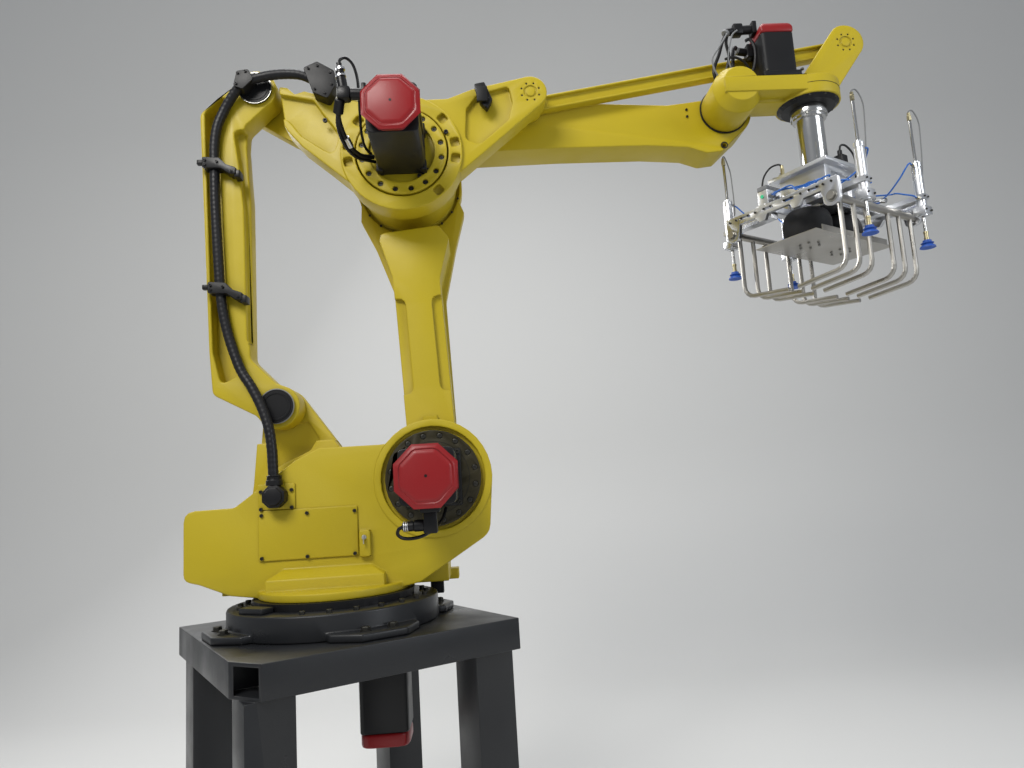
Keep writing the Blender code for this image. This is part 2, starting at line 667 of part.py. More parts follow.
def make_lower_arm():
    lean, across = LEAN_WAY, Vector((LEAN_WAY.z, 0.0, -LEAN_WAY.x))
    half = 0.090

    def along(place, up, aside, *radius):
        spot = place + lean * up + across * aside
        return (spot.x, spot.z, *radius)

    plate = ([along(SHOULDER, 0.08, half), along(ELBOW, -0.50, half + 0.012, 0.1), along(ELBOW, -0.28, 0.165, 0.1),
              along(ELBOW, -0.13, 0.215)]
             + [tuple(point) for point in arc(ELBOW, HUB_RADIUS + 0.010, -20, 200, 28)]
             + [along(ELBOW, -0.13, -0.215), along(ELBOW, -0.25, -0.165, 0.1), along(ELBOW, -0.50, -half, 0.1),
                along(SHOULDER, 0.08, -half)])
    arm = node("lower_arm", prism_y(rounded(plate), LOWER_ARM_DISC, LOWER_ARM_FAR), SHOULDER_AXIS, YELLOW, 0.35)
    front = rounded([along(SHOULDER, 0.08, half), along(ELBOW, -0.46, half, 0.1), along(ELBOW, -0.30, 0.142, 0.02),
                     along(ELBOW, -0.245, 0.105, 0.02), along(ELBOW, -0.258, -0.118, 0.02),
                     along(ELBOW, -0.290, -0.128, 0.02), along(ELBOW, -0.44, -half, 0.08),
                     along(SHOULDER, 0.08, -half)])
    fuse(arm, prism_y(front, LOWER_ARM_NEAR, LOWER_ARM_DISC + 0.01))
    fuse(arm, disc_y(SHOULDER, HUB_RADIUS - 0.008, LOWER_ARM_NEAR, LOWER_ARM_FAR))
    fuse(arm, disc_y(SHOULDER, RING_RADIUS, TURRET_FAR + SEAT, LOWER_ARM_NEAR + 0.01))
    flute_low, flute_high = 0.325, LOWER_ARM_LENGTH - 0.525
    for side in (-1, 1):
        flute = rounded([along(SHOULDER, flute_low, side * (half - 0.040), 0.03),
                         along(SHOULDER, flute_high, side * (half - 0.040), 0.03),
                         along(SHOULDER, flute_high, side * (half + 0.05)),
                         along(SHOULDER, flute_low, side * (half + 0.05))])
        cut(arm, prism_y(flute, LOWER_ARM_NEAR - 0.05, LOWER_ARM_NEAR + POCKET_DEPTH))
    cut(arm, ring_y(ELBOW, HUB_RADIUS - 0.014, HUB_RADIUS - 0.002, LOWER_ARM_DISC - 0.15, LOWER_ARM_DISC + 0.014))


def make_rear_link():
    lower, upper = REAR_LOWER_PIVOT, REAR_UPPER_PIVOT
    outline = rounded(around(lower, [(-0.078, -0.028), (-0.229, 0.055, 0.03), (-0.241, 0.213)])
                      + around(upper, [(-0.2095, -0.088, 0.04), (-0.0575, 0.041, 0.02)])
                      + [tuple(point) for point in arc(upper, PIVOT_BOSS, 120, -60, 14)]
                      + around(upper, [(-0.0450, -0.148, 0.04), (-0.0490, -0.212, 0.04)])
                      + around(lower, [(-0.098, 0.790), (-0.096, 0.180, 0.04), (-0.006, 0.086, 0.02)])
                      + [tuple(point) for point in arc(lower, PIVOT_BOSS, 60, -150, 16)])
    link = node("rear_link", prism_y(outline, REAR_LINK_NEAR, REAR_LINK_FAR), REAR_LINK_AXIS, YELLOW, 0.35)
    groove = rounded(around(lower, [(-0.200, 0.090, 0.02), (-0.228, 0.213)])
                     + around(upper, [(-0.192, -0.085, 0.03), (-0.115, -0.010, 0.03), (-0.100, -0.085, 0.02),
                                      (-0.142, -0.167, 0.02), (-0.138, -0.266)])
                     + around(lower, [(-0.179, 0.408), (-0.155, 0.230, 0.02), (-0.130, 0.125, 0.02)]))
    cut(link, prism_y(groove, REAR_LINK_NEAR - 0.05, REAR_LINK_FAR - 0.035))
    step = rounded(around(upper, [(-0.085, -0.160, 0.02), (-0.0665, -0.300)])
                   + around(lower, [(-0.112, 0.750), (-0.106, 0.235, 0.02), (-0.04, 0.235)])
                   + around(upper, [(0.02, -0.160)]))
    cut(link, prism_y(step, REAR_LINK_NEAR - 0.05, REAR_LINK_NEAR + 0.040))
    for label, pivot in (("lower", lower), ("upper", upper)):
        fuse(link, disc_y(pivot, PIN_RADIUS, REAR_LINK_FAR - 0.01, REAR_ARM_NEAR - SEAT))
        cover = disc_y(pivot, 0.060, REAR_LINK_NEAR - 0.018, REAR_LINK_NEAR - SEAT, 32)
        node("rear_link_%s_cover" % label, cover, REAR_LINK_AXIS, BLACK, 0.5)


def make_bell_crank():
    hub = arc(ELBOW, CRANK_HUB, 0, 360 - 360 / 48, 47)
    crank = node("bell_crank", prism_y(hub, CRANK_NEAR, CRANK_FAR), CRANK_AXIS, YELLOW, 0.35)
    front = (around(ELBOW, [(0.0555, 0.212), (0.1825, 0.215), (0.2755, 0.250)])
             + [tuple(point) for point in arc(FRONT_PIVOT, FRONT_BOSS, 100, -50, 12)]
             + around(ELBOW, [(0.2175, -0.083), (0.0555, -0.075)]))
    fuse(crank, prism_y(front, FRONT_WEB, CRANK_FAR))
    rear = rounded(around(REAR_UPPER_PIVOT, [(0.0925, -0.004, 0.01), (0.1245, -0.010), (0.1525, -0.038, 0.01),
                                             (0.1885, -0.026, 0.01), (0.2425, -0.043, 0.03)])
                   + around(ELBOW, [(-0.10, 0.205), (0.0, 0.10), (-0.1625, -0.144)])
                   + around(REAR_UPPER_PIVOT, [(0.2745, -0.333), (0.1775, -0.249), (0.1215, -0.182, 0.01),
                                               (0.1115, -0.163, 0.01)]))
    fuse(crank, prism_y(rear, CRANK_WEB, CRANK_FAR))
    tail = ([tuple(point) for point in arc(REAR_UPPER_PIVOT, PIVOT_BOSS, 88, 245, 14)]
            + around(REAR_UPPER_PIVOT, [(0.1115, -0.163), (0.2275, -0.215), (0.2425, -0.043), (0.1885, -0.026),
                                        (0.1245, -0.002)]))
    fuse(crank, prism_y(tail, REAR_ARM_NEAR, REAR_ARM_FAR))
    bridge = around(REAR_UPPER_PIVOT, [(0.1245, -0.012), (0.1155, -0.160), (0.2275, -0.215), (0.2425, -0.045),
                                       (0.1885, -0.028), (0.1525, -0.040)])
    fuse(crank, prism_y(bridge, CRANK_WEB + 0.045, REAR_ARM_FAR - 0.01))
    panel = rounded(around(REAR_UPPER_PIVOT, [(0.06, -0.028), (0.2225, -0.064, 0.02), (0.2545, -0.116, 0.02),
                                              (0.3155, -0.203, 0.03), (0.2935, -0.292, 0.03), (0.1745, -0.207),
                                              (0.1265, -0.142, 0.01), (0.06, -0.12)]))
    cut(crank, prism_y(panel, CRANK_NEAR - 0.05, CRANK_WEB + POCKET_DEPTH))
    web = rounded(around(FRONT_PIVOT, [(-0.2515, -0.0625, 0.02), (-0.2065, -0.0075, 0.02), (-0.0815, 0.0275, 0.02),
                                       (-0.0715, -0.0425, 0.02), (-0.0915, -0.1125, 0.02),
                                       (-0.2065, -0.2075, 0.03), (-0.2615, -0.1875, 0.03)]))
    cut(crank, prism_y(web, CRANK_NEAR - 0.05, FRONT_WEB + POCKET_DEPTH))
    bore = RING_RADIUS + RUNNING
    cut(crank, spoke_pockets(ELBOW, bore + 0.010, CRANK_HUB - 0.008, 0.036, (-50, -9, 9, 39, 141, 171, 189),
                             CRANK_NEAR - 0.05, CRANK_NEAR + POCKET_DEPTH))
    cut(crank, disc_y(ELBOW, bore, CRANK_NEAR - 0.05, REAR_ARM_FAR + 0.05))
    cut_boss(crank, FRONT_PIVOT, FRONT_WEB)
    clamp = prism_y(rounded(around(ELBOW, [(0.285, 0.255, 0.006), (0.325, 0.262, 0.006), (0.352, 0.190, 0.006),
                                           (0.330, 0.150, 0.006), (0.305, 0.180, 0.006)])),
                    FRONT_WEB - 0.030, FRONT_WEB - SEAT)
    node("arm_clamp", clamp, CRANK_AXIS, BLACK, 0.5)


def cut_boss(item, pivot, face):
    """Turned recess and eight bolt holes in a pivot's near face."""
    cut(item, ring_y(pivot, 0.018, 0.026, face - 0.02, face + 0.004, 24))
    cut(item, bolt_ring(pivot, 0.036, 8, 0.0042, face - 0.02, face + 0.008, 22.5, 6))


def make_conduit():
    """Hose from the turret's gland, up the rear link and over its top pivot, with the clamps that hold it."""
    lower, upper = REAR_LOWER_PIVOT, REAR_UPPER_PIVOT
    gland_top = GLAND.z + GLAND_SIDE / 2 + SEAT
    gland_y = RING_FACE - 0.006 - GLAND_DEPTH / 2
    link_y = REAR_LINK_NEAR - CONDUIT_RADIUS - 0.002

    def spots(place, offsets):
        return [Vector((place[0] + dx, y, place[2] + dz)) for dx, y, dz in offsets]

    loop = ([Vector((GLAND.x - 0.001, gland_y, gland_top))]
            + spots(lower, [(0.001, gland_y, -0.236), (-0.003, gland_y + 0.003, -0.159), (-0.015, -0.100, -0.082),
                            (-0.042, -0.090, -0.004), (-0.079, -0.080, 0.070), (-0.119, -0.070, 0.135),
                            (-0.155, link_y - 0.002, 0.233), (-0.175, link_y, 0.310), (-0.188, link_y, 0.388)]))
    rise = (spots(lower, [(-0.1975, link_y, 0.520)])
            + spots(upper, [(-0.1465, link_y, -0.455), (-0.1485, link_y, -0.306), (-0.1485, link_y, -0.230),
                            (-0.1375, link_y, -0.154), (-0.1095, link_y, -0.086), (-0.0695, link_y - 0.012, -0.030),
                            (-0.0265, link_y - 0.026, 0.004)]))
    over = spots(upper, [(0.0375, link_y - 0.030, 0.021), (0.1095, link_y - 0.032, 0.029),
                         (0.1815, link_y - 0.034, 0.022), (0.2385, link_y - 0.036, -0.006)])
    run = smooth_path(loop + rise + over, CONDUIT_PARTS)
    low = CONDUIT_PARTS * (len(loop) - 1)
    top = low + CONDUIT_PARTS * len(rise)
    upright = Vector((0.0, 0.0, 1.0))
    low_seam = (run[low + 1] - run[low - 1]).normalized()
    top_seam = (run[top + 1] - run[top - 1]).normalized()
    finish = dict(color=BLACK, roughness=0.5)
    node("conduit_lower", hose(CONDUIT_RADIUS, run[:low + 1], upright, low_seam), SLEW, **finish)
    held = [run[low] + low_seam * SEAT] + run[low + 1:top + 1]
    node("conduit_link", hose(CONDUIT_RADIUS, held, low_seam, top_seam), REAR_LINK_AXIS, **finish)
    turned = [run[top] + top_seam * SEAT] + run[top + 1:]
    node("conduit_top", hose(CONDUIT_RADIUS, turned, top_seam), CRANK_AXIS, **finish)

    sleeve = CONDUIT_RADIUS + SEAT
    for label, place, height in (("lower", lower, 0.440), ("upper", upper, -0.306)):
        x = place.x + (-0.192 if label == "lower" else -0.1485)
        z = place.z + height
        outline = rounded([(x - 0.036, z - 0.022, 0.006), (x + 0.030, z - 0.026, 0.006), (x + 0.062, z - 0.050, 0.006),
                           (x + 0.086, z - 0.052, 0.006), (x + 0.086, z - 0.026, 0.006), (x + 0.050, z - 0.012, 0.006),
                           (x + 0.026, z + 0.014, 0.006), (x - 0.036, z + 0.020, 0.006)])
        clamp = node("link_clamp_" + label, prism_y(outline, link_y - CONDUIT_RADIUS - 0.012, REAR_LINK_NEAR - SEAT),
                     REAR_LINK_AXIS, **finish)
        cut(clamp, hose(sleeve, run[low:]))
    saddle = prism_y(rounded(around(upper, [(-0.064, -0.020, 0.01), (-0.030, -0.034, 0.01), (0.012, 0.006, 0.01),
                                            (-0.008, 0.046, 0.01), (-0.050, 0.040, 0.01)])),
                     link_y - 0.030 - CONDUIT_RADIUS, REAR_LINK_NEAR - 0.018 - SEAT)
    pivot_clamp = node("pivot_clamp", saddle, REAR_LINK_AXIS, **finish)
    cut(pivot_clamp, hose(sleeve, run[low:]))
    plate = prism_y(rounded(around(upper, [(0.1985, 0.034, 0.01), (0.2505, 0.058, 0.01), (0.3125, 0.020, 0.01),
                                           (0.3165, -0.040, 0.01), (0.2865, -0.092, 0.01), (0.2325, -0.066, 0.01)])),
                    link_y - 0.036 - CONDUIT_RADIUS - 0.010, CRANK_WEB - SEAT)
    crank_clamp = node("crank_clamp", plate, CRANK_AXIS, **finish)
    cut(crank_clamp, hose(sleeve, run[low:-1] + [run[-1] + (run[-1] - run[-2]).normalized() * SEAT]))


def make_upper_arm():
    outline = rounded(around(ELBOW, [(0.12, 0.071), (0.20, 0.070), (0.62, 0.076), (0.98, 0.072, 0.2)])
                      + around(WRIST_PIVOT, [(-0.160, -0.152, 0.03), (-0.085, -0.180, 0.03), (-0.020, -0.172, 0.02)])
                      + [tuple(point) for point in arc(WRIST_PIVOT, 0.116, -58, 62, 12)]
                      + around(WRIST_PIVOT, [(-0.097, 0.047, 0.05), (-0.235, 0.034), (-0.583, 0.056, 0.1)])
                      + around(ELBOW, [(0.26, 0.235), (0.10, 0.165)]))
    arm = node("upper_arm", prism_y(outline, UPPER_ARM_NEAR, UPPER_ARM_FAR), ELBOW_AXIS, YELLOW, 0.35)
    fuse(arm, disc_y(ELBOW, HUB_RADIUS - 0.013, CRANK_FAR + RUNNING, UPPER_ARM_FAR - 0.004))
    fuse(arm, disc_y(ELBOW, RING_RADIUS, RING_FACE, UPPER_ARM_FAR - 0.020))
    fuse(arm, disc_y(ELBOW, HUB_RADIUS - 0.030, CRANK_FAR + SEAT, LOWER_ARM_DISC - SEAT, ROUND_STEPS - 2))
    cut(arm, bolt_ring(ELBOW, BOLT_CIRCLE, BOLT_COUNT, BOLT_POCKET, RING_FACE - 0.02, RING_FACE + 0.012,
                       180 / BOLT_COUNT))
    seat = RING_FACE + 0.012
    cut(arm, disc_y(ELBOW, MOTOR_SIDE * 0.70, RING_FACE - 0.02, seat))
    hole = WRIST_PIVOT + Vector((-0.012, 0.0, -0.150))
    cut(arm, disc_y(hole, 0.010, UPPER_ARM_NEAR - 0.02, UPPER_ARM_FAR + 0.02, 16))
    motor_along_y("elbow_motor", ELBOW, seat, ELBOW_AXIS)


def make_upper_link():
    along = (EAR_PIVOT - FRONT_PIVOT).normalized()
    across = Vector((-along.z, 0.0, along.x))
    half = 0.029

    def strip(start, end, low, high, near, far):
        first, last = FRONT_PIVOT + along * start, EAR_PIVOT - along * end
        corners = [first + across * high, first + across * low, last + across * low, last + across * high]
        return prism_y([corner.xz for corner in corners], near, far)

    link = node("upper_link", strip(0.0, 0.0, -half, half, UPPER_LINK_NEAR, UPPER_LINK_FAR), UPPER_LINK_AXIS,
                YELLOW, 0.35)
    wall = 0.008
    eye = LINK_EYE + 0.020
    for near, far in ((UPPER_LINK_NEAR - 0.05, UPPER_LINK_NEAR + 0.018), (UPPER_LINK_FAR - 0.018, UPPER_LINK_FAR + 0.05)):
        cut(link, strip(eye, eye, wall - half, half - wall, near, far))
    for pivot, seat in ((FRONT_PIVOT, CRANK_FAR), (EAR_PIVOT, EAR_FAR)):
        fuse(link, disc_y(pivot, LINK_EYE, UPPER_LINK_NEAR - 0.002, UPPER_LINK_FAR + 0.002, 24))
        fuse(link, disc_y(pivot, PIN_RADIUS, seat + SEAT, UPPER_LINK_FAR, 24))


def make_wrist():
    slab_low = WRIST_PIVOT.z - 0.035
    slab = block((WRIST_PIVOT.x - 0.066, WRIST_NEAR, slab_low), (TOOL_X, WRIST_FAR, WRIST_TOP))
    wrist = node("wrist", slab, WRIST_AXIS, YELLOW, 0.35)
    fuse(wrist, disc_y(WRIST_PIVOT, DRUM_RADIUS, WRIST_NEAR + 0.055, WRIST_FAR))
    fuse(wrist, rod(DRUM_RADIUS * 0.72, (WRIST_PIVOT.x, WRIST_NEAR + 0.004, WRIST_PIVOT.z),
                    (WRIST_PIVOT.x, WRIST_NEAR + 0.056, WRIST_PIVOT.z), ROUND_STEPS, DRUM_RADIUS))
    fuse(wrist, disc_y(WRIST_PIVOT, DRUM_RADIUS - 0.010, WRIST_FAR - 0.01, UPPER_ARM_NEAR - SEAT))
    fuse(wrist, rod(HOUSING_RADIUS, (TOOL_X, 0, WRIST_BOTTOM), (TOOL_X, 0, WRIST_TOP - 0.002)))
    web = block((WRIST_PIVOT.x, -0.045, WRIST_BOTTOM), (TOOL_X, 0.045, slab_low + 0.01))
    fuse(wrist, web)
    ear = (around((TOOL_X, 0.0, WRIST_TOP), [(-0.021, -0.032), (-0.021, 0.033)])
           + [tuple(point) for point in arc(EAR_PIVOT, EAR_BOSS, 125, -45, 14)]
           + around((TOOL_X, 0.0, WRIST_TOP), [(0.114, -0.032)]))
    fuse(wrist, prism_y(ear, EAR_NEAR, EAR_FAR))
    cut_boss(wrist, EAR_PIVOT, EAR_NEAR)
    low_x, near = WRIST_PIVOT.x + 0.105, -0.100
    far = near + WRIST_MOTOR_SIDE
    top = WRIST_TOP + WRIST_MOTOR_HEIGHT
    foot_top = WRIST_TOP + 0.024
    motor = node("wrist_motor", block((low_x - 0.010, near - 0.008, WRIST_TOP + SEAT),
                                      (low_x + WRIST_MOTOR_SIDE + 0.010, far, foot_top)), WRIST_AXIS, BLACK, 0.5)
    fuse(motor, prism_z(rounded_box((low_x, near), (low_x + WRIST_MOTOR_SIDE, far - 0.002), 0.018), foot_top - 0.01, top))
    base = [(low_x + dx, near + dy) for dx, dy in ((0.0, 0.0), (WRIST_MOTOR_SIDE, 0.0),
                                                   (WRIST_MOTOR_SIDE, WRIST_MOTOR_SIDE), (0.0, WRIST_MOTOR_SIDE))]
    middle = Vector((low_x + WRIST_MOTOR_SIDE / 2, near + WRIST_MOTOR_SIDE / 2))
    crown = [middle + (Vector(corner) - middle) * 0.82 for corner in base]
    heights = (top + SEAT, top + MOTOR_CAP * 0.65, top + MOTOR_CAP)
    cap = hull([(*corner, z) for corner in base for z in heights[:2]] + [(*corner, heights[2]) for corner in crown])
    node("wrist_motor_cap", cap, WRIST_AXIS, RED, 0.4)
    seal = lathe_z((TOOL_X, 0.0), [(HOUSING_RADIUS - 0.022, WRIST_BOTTOM - SEAT - SEAL_HEIGHT),
                                   (HOUSING_RADIUS - 0.006, WRIST_BOTTOM - SEAT)])
    node("wrist_seal", seal, WRIST_AXIS, BLACK, 0.5)


def make_mast():
    top = WRIST_BOTTOM - 2 * SEAT - SEAL_HEIGHT
    flange_low = top - 0.034
    mast = node("tool_mast", rod(MAST_FLANGE, (TOOL_X, 0, flange_low), (TOOL_X, 0, top)), TOOL_AXIS, SILVER,
                0.25, 1.0)
    fuse(mast, rod(MAST_RADIUS, (TOOL_X, 0, MAST_BOTTOM), (TOOL_X, 0, top - 0.01)))
    fuse(mast, rod(MAST_RADIUS + 0.012, (TOOL_X, 0, flange_low - 0.012), (TOOL_X, 0, flange_low + 0.01)))


def make_gripper():
    top = MAST_BOTTOM - SEAT
    frame = node("gripper_frame", turned_tool(block((-0.13, -0.13, top - 0.015), (0.13, 0.13, top))), TOOL_AXIS,
                 SILVER, 0.3, 1.0)
    fuse(frame, turned_tool(block((-0.10, -0.10, SPRING_TOP), (0.10, 0.10, top - 0.01))))
    for side in (-1, 1):
        reach = RAIL_U - RAIL_THICK / 2 - SEAT
        fuse(frame, turned_tool(block((-reach, side * 0.085 - 0.02, FRAME_LOW),
                                      (reach, side * 0.085 + 0.02, FRAME_LOW + 0.026))))
    for side in (-1, 1):
        window = block((-0.060, side * 0.13 - 0.045, SPRING_TOP + 0.045), (0.060, side * 0.13 + 0.045, top - 0.035))
        cut(frame, turned_tool(window))
    for label, side in (("near", -1), ("far", 1)):
        rail = node("gripper_rail_" + label, rail_shape(side), TOOL_AXIS, SILVER, 0.3, 1.0)
        for end in (-1, 1):
            cut(rail, turned_tool(rod(SHAFT_RADIUS + 0.0005, (side * RAIL_U - 0.05, end * TINE_V, RAIL_Z),
                                      (side * RAIL_U + 0.05, end * TINE_V, RAIL_Z), 24)))
        slot_half = 0.022
        for place in (-0.150, -0.045, 0.045, 0.150):
            slot = prism_y(rounded_box((place - slot_half, RAIL_Z + 0.046), (place + slot_half, RAIL_Z + 0.056), 0.004),
                           -0.05, 0.05)
            slot.transform(Matrix.Rotation(math.pi / 2, 4, 'Z'))
            slot.transform(Matrix.Translation((side * RAIL_U, 0.0, 0.0)))
            cut(rail, turned_tool(slot))
    valve_low = FRAME_LOW + 0.026 + SEAT
    valve = node("valve_block", turned_tool(block((-0.235, 0.062, valve_low), (-0.150, 0.108, valve_low + 0.060))),
                 TOOL_AXIS, SILVER, 0.4, 0.8)
    for number in range(3):
        u = -0.220 + number * 0.026
        fuse(valve, turned_tool(rod(0.008, (u, 0.085, valve_low + 0.05), (u, 0.085, valve_low + 0.074), 12)))


def rail_shape(side):
    """Gripper side plate with a round hinge lug at each end."""
    lug = 0.030
    outline = rounded([(-TINE_V - lug, RAIL_Z - lug, 0.028), (-TINE_V + lug, RAIL_Z - lug, 0.02),
                       (-TINE_V + lug + 0.01, RAIL_Z + 0.032), (-0.105, RAIL_Z + 0.032, 0.01),
                       (-0.085, RAIL_Z + 0.010, 0.008), (-0.060, RAIL_Z + 0.010, 0.008), (-0.050, RAIL_Z + 0.032, 0.01),
                       (0.050, RAIL_Z + 0.032, 0.01), (0.060, RAIL_Z + 0.010, 0.008), (0.085, RAIL_Z + 0.010, 0.008),
                       (0.105, RAIL_Z + 0.032, 0.01), (TINE_V - lug - 0.01, RAIL_Z + 0.032),
                       (TINE_V - lug, RAIL_Z - lug, 0.02), (TINE_V + lug, RAIL_Z - lug, 0.028),
                       (TINE_V + lug, RAIL_Z + 0.067, 0.01), (-TINE_V - lug, RAIL_Z + 0.067, 0.01)])
    shape = prism_y(outline, -RAIL_THICK / 2, RAIL_THICK / 2)
    shape.transform(Matrix.Rotation(math.pi / 2, 4, 'Z'))
    shape.transform(Matrix.Translation((side * RAIL_U, 0.0, 0.0)))
    return turned_tool(shape)


def make_tines():
    for label, end in (("left", 1), ("right", -1)):
        base = joint("tine_axis_" + label, turned_tool_point(0.0, end * TINE_V, RAIL_Z), TOOL_AXIS)
        shaft = rod(SHAFT_RADIUS, (-RAIL_U - 0.02, end * TINE_V, RAIL_Z), (RAIL_U + 0.02, end * TINE_V, RAIL_Z), 18)
        tines = node("tine_set_" + label, turned_tool(shaft), base, STEEL, 0.25, 1.0)
        for group in (-1, 1):
            for place in TINE_US:
                u = group * place
                run = [(u, end * TINE_V, RAIL_Z + 0.003), (u, end * TINE_V, TINE_FLOOR),
                       (u, end * TINE_TIP, TINE_FLOOR - 0.020)]
                fuse(tines, turned_tool(bent_rod(TINE_RADIUS, run, 0.045)))


def make_press():
    base = joint("press_axis", turned_tool_point(0.0, 0.0, PRESS_Z), TOOL_AXIS)
    thick = 0.003
    sheet = node("press_plate", turned_tool(block((-0.25, -0.13, PRESS_Z - thick), (0.25, 0.13, PRESS_Z))), base,
                 STEEL, 0.3, 1.0)
    for side in (-1, 1):
        ends = sorted((side * 0.13, side * (0.13 - thick)))
        fuse(sheet, turned_tool(block((-0.21, ends[0], PRESS_Z - thick), (0.21, ends[1], PRESS_Z + 0.020))))
    low, high = PRESS_Z + SEAT, SPRING_TOP - SEAT
    middle = (low + high) / 2
    bulge = (high - low) / 2
    for label, u in (("near", -0.10), ("far", 0.10)):
        profile = [(0.058 + 0.028 * math.cos(math.radians(angle)), middle + bulge * math.sin(math.radians(angle)))
                   for angle in range(-90, 91, 30)]
        centre = turned_tool_point(u, 0.0, 0.0)
        node("air_spring_" + label, lathe_z(centre, profile), base, BLACK, 0.6)


def make_cups():
    for index, (side_u, side_v) in enumerate(((-1, 1), (-1, -1), (1, -1), (1, 1)), start=1):
        u, v = side_u * CUP_U, side_v * CUP_V
        ends = sorted((side_v * 0.075, v + side_v * 0.020))
        bar = block((u - 0.020, ends[0], FRAME_LOW - 0.020), (u + 0.020, ends[1], FRAME_LOW - SEAT))
        holder = node("cup_cylinder_%d" % index, turned_tool(bar), TOOL_AXIS, SILVER, 0.3, 1.0)
        fuse(holder, turned_tool(rod(0.016, (u, v, FRAME_LOW - 0.081), (u, v, FRAME_LOW + 0.124), 20)))
        cut(holder, turned_tool(rod(0.0065, (u, v, FRAME_LOW - 0.15), (u, v, FRAME_LOW + 0.20), 16)))
        base = joint("cup_axis_%d" % index, turned_tool_point(u, v, CUP_Z), TOOL_AXIS)
        stem = node("cup_%d" % index, turned_tool(rod(0.006, (u, v, CUP_Z), (u, v, FRAME_LOW + 0.174), 12)), base,
                    BLUE, 0.5)
        fuse(stem, turned_tool(rod(0.026, (u, v, CUP_Z - 0.010), (u, v, CUP_Z + 0.015), 24, 0.012)))


make_stand()
make_base()
make_turret()
make_turret_trim()
make_lower_arm()
make_rear_link()
make_bell_crank()
make_conduit()
make_upper_arm()
make_upper_link()
make_wrist()
make_mast()
make_gripper()
make_tines()
make_press()
make_cups()
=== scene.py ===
# %% [markdown]
# # Palletising robot arm: the looks
#
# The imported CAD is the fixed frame. This script gives each CAD piece its finish, stands softer
# copies in for the castings, and adds what is too fine for the CAD: bolts, connectors and cables.
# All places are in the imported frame: metres, +Z up, the floor at Z = 0, the photo's view along +Y.

# %%
import json
import math

import bmesh
import bpy
from mathutils import Matrix, Vector

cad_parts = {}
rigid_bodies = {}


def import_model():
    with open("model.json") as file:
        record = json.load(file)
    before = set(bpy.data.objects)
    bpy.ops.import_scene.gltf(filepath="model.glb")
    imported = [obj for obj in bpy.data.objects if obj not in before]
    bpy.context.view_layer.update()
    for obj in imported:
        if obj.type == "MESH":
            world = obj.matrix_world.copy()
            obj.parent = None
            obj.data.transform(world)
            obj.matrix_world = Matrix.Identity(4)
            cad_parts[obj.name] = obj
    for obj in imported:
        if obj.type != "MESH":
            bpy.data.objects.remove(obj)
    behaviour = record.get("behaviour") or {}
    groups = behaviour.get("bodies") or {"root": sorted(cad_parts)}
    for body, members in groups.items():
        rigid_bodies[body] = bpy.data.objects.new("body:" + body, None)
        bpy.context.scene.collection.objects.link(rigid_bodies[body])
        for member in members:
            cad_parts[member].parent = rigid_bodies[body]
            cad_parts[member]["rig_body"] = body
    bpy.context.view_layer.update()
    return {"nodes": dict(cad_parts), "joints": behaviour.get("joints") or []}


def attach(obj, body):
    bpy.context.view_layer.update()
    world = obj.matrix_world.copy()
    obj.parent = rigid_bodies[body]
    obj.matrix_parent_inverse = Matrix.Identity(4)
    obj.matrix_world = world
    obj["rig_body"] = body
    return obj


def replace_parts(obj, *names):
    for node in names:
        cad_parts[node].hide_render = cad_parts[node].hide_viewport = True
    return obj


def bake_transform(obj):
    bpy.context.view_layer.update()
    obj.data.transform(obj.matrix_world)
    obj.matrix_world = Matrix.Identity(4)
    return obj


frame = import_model()
nodes = frame["nodes"]
joints = {j["name"]: j for j in frame["joints"]}
body = {name: node["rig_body"] for name, node in nodes.items()}

# %% [markdown]
# ## Places that the pieces are built around
#
# Every joint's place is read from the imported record, so the pieces follow the CAD. `at` counts from
# a joint in X and Z, and from the machine's middle plane in Y. `SEAT` is the CAD's gap
# between seated pieces, and `SINK` is how far an added piece sinks in or stands off.

# %%
def place_of(name):
    return Vector(joints[name]["pos_m"])


SLEW = place_of("slewing")
SHOULDER = place_of("shoulder")
REAR_LOW = place_of("rear_link_pivot")
ELBOW = place_of("crank_pivot")
FRONT = place_of("upper_link_pivot")
WRIST = place_of("wrist_pivot")
TOOL = place_of("tool_turn")
REAR_TOP = ELBOW + (REAR_LOW - SHOULDER)
EAR = WRIST + (FRONT - ELBOW)
HOME = Vector((SLEW.x, SLEW.y, 0.0))
TOOL_TURN = math.radians(30.6)
STAND_TURN = math.radians(30.7)

RING_FACE = -0.08
LINK_FACE = -0.04
ARM_NEAR = 0.07
ARM_FAR = 0.3202
UPPER_NEAR = 0.1
UPPER_FAR = 0.2502
SEAT = 0.0003
SINK = 0.0002
BOLT_CIRCLE = 0.15
MOTOR_HALF = 0.088
MOTOR_LENGTH = 0.33
CAP_LENGTH = 0.045
STAND_TOP = 1.072


def at(joint, dx, y, dz):
    return Vector((joint.x + dx, HOME.y + y, joint.z + dz))


def spot(x, y, z):
    """Place counted from the slewing axis on the floor."""
    return HOME + Vector((x, y, z))


def spots(*points):
    return [spot(*point) for point in points]


def run_at(joint, *points):
    return [at(joint, *point) for point in points]


def on_stand(u, v, z):
    turn = Matrix.Rotation(STAND_TURN, 3, "Z")
    return HOME + turn @ Vector((u, v, 0.0)) + Vector((0.0, 0.0, z))


def on_tool(u, v, z):
    """Place in the gripper's turned frame; z counts down from the mast's foot."""
    turn = Matrix.Rotation(TOOL_TURN, 3, "Z")
    return Vector((TOOL.x, HOME.y, MAST_BOTTOM + z)) + turn @ Vector((u, v, 0.0))


def tool_run(*points):
    return [on_tool(*point) for point in points]


HOUSING_LOW = WRIST.z - 0.05
MAST_BOTTOM = HOUSING_LOW - 0.285

# %% [markdown]
# ## Finishes
#
# Shared effects are node groups that give masks and normals. Each material keeps its own shader.

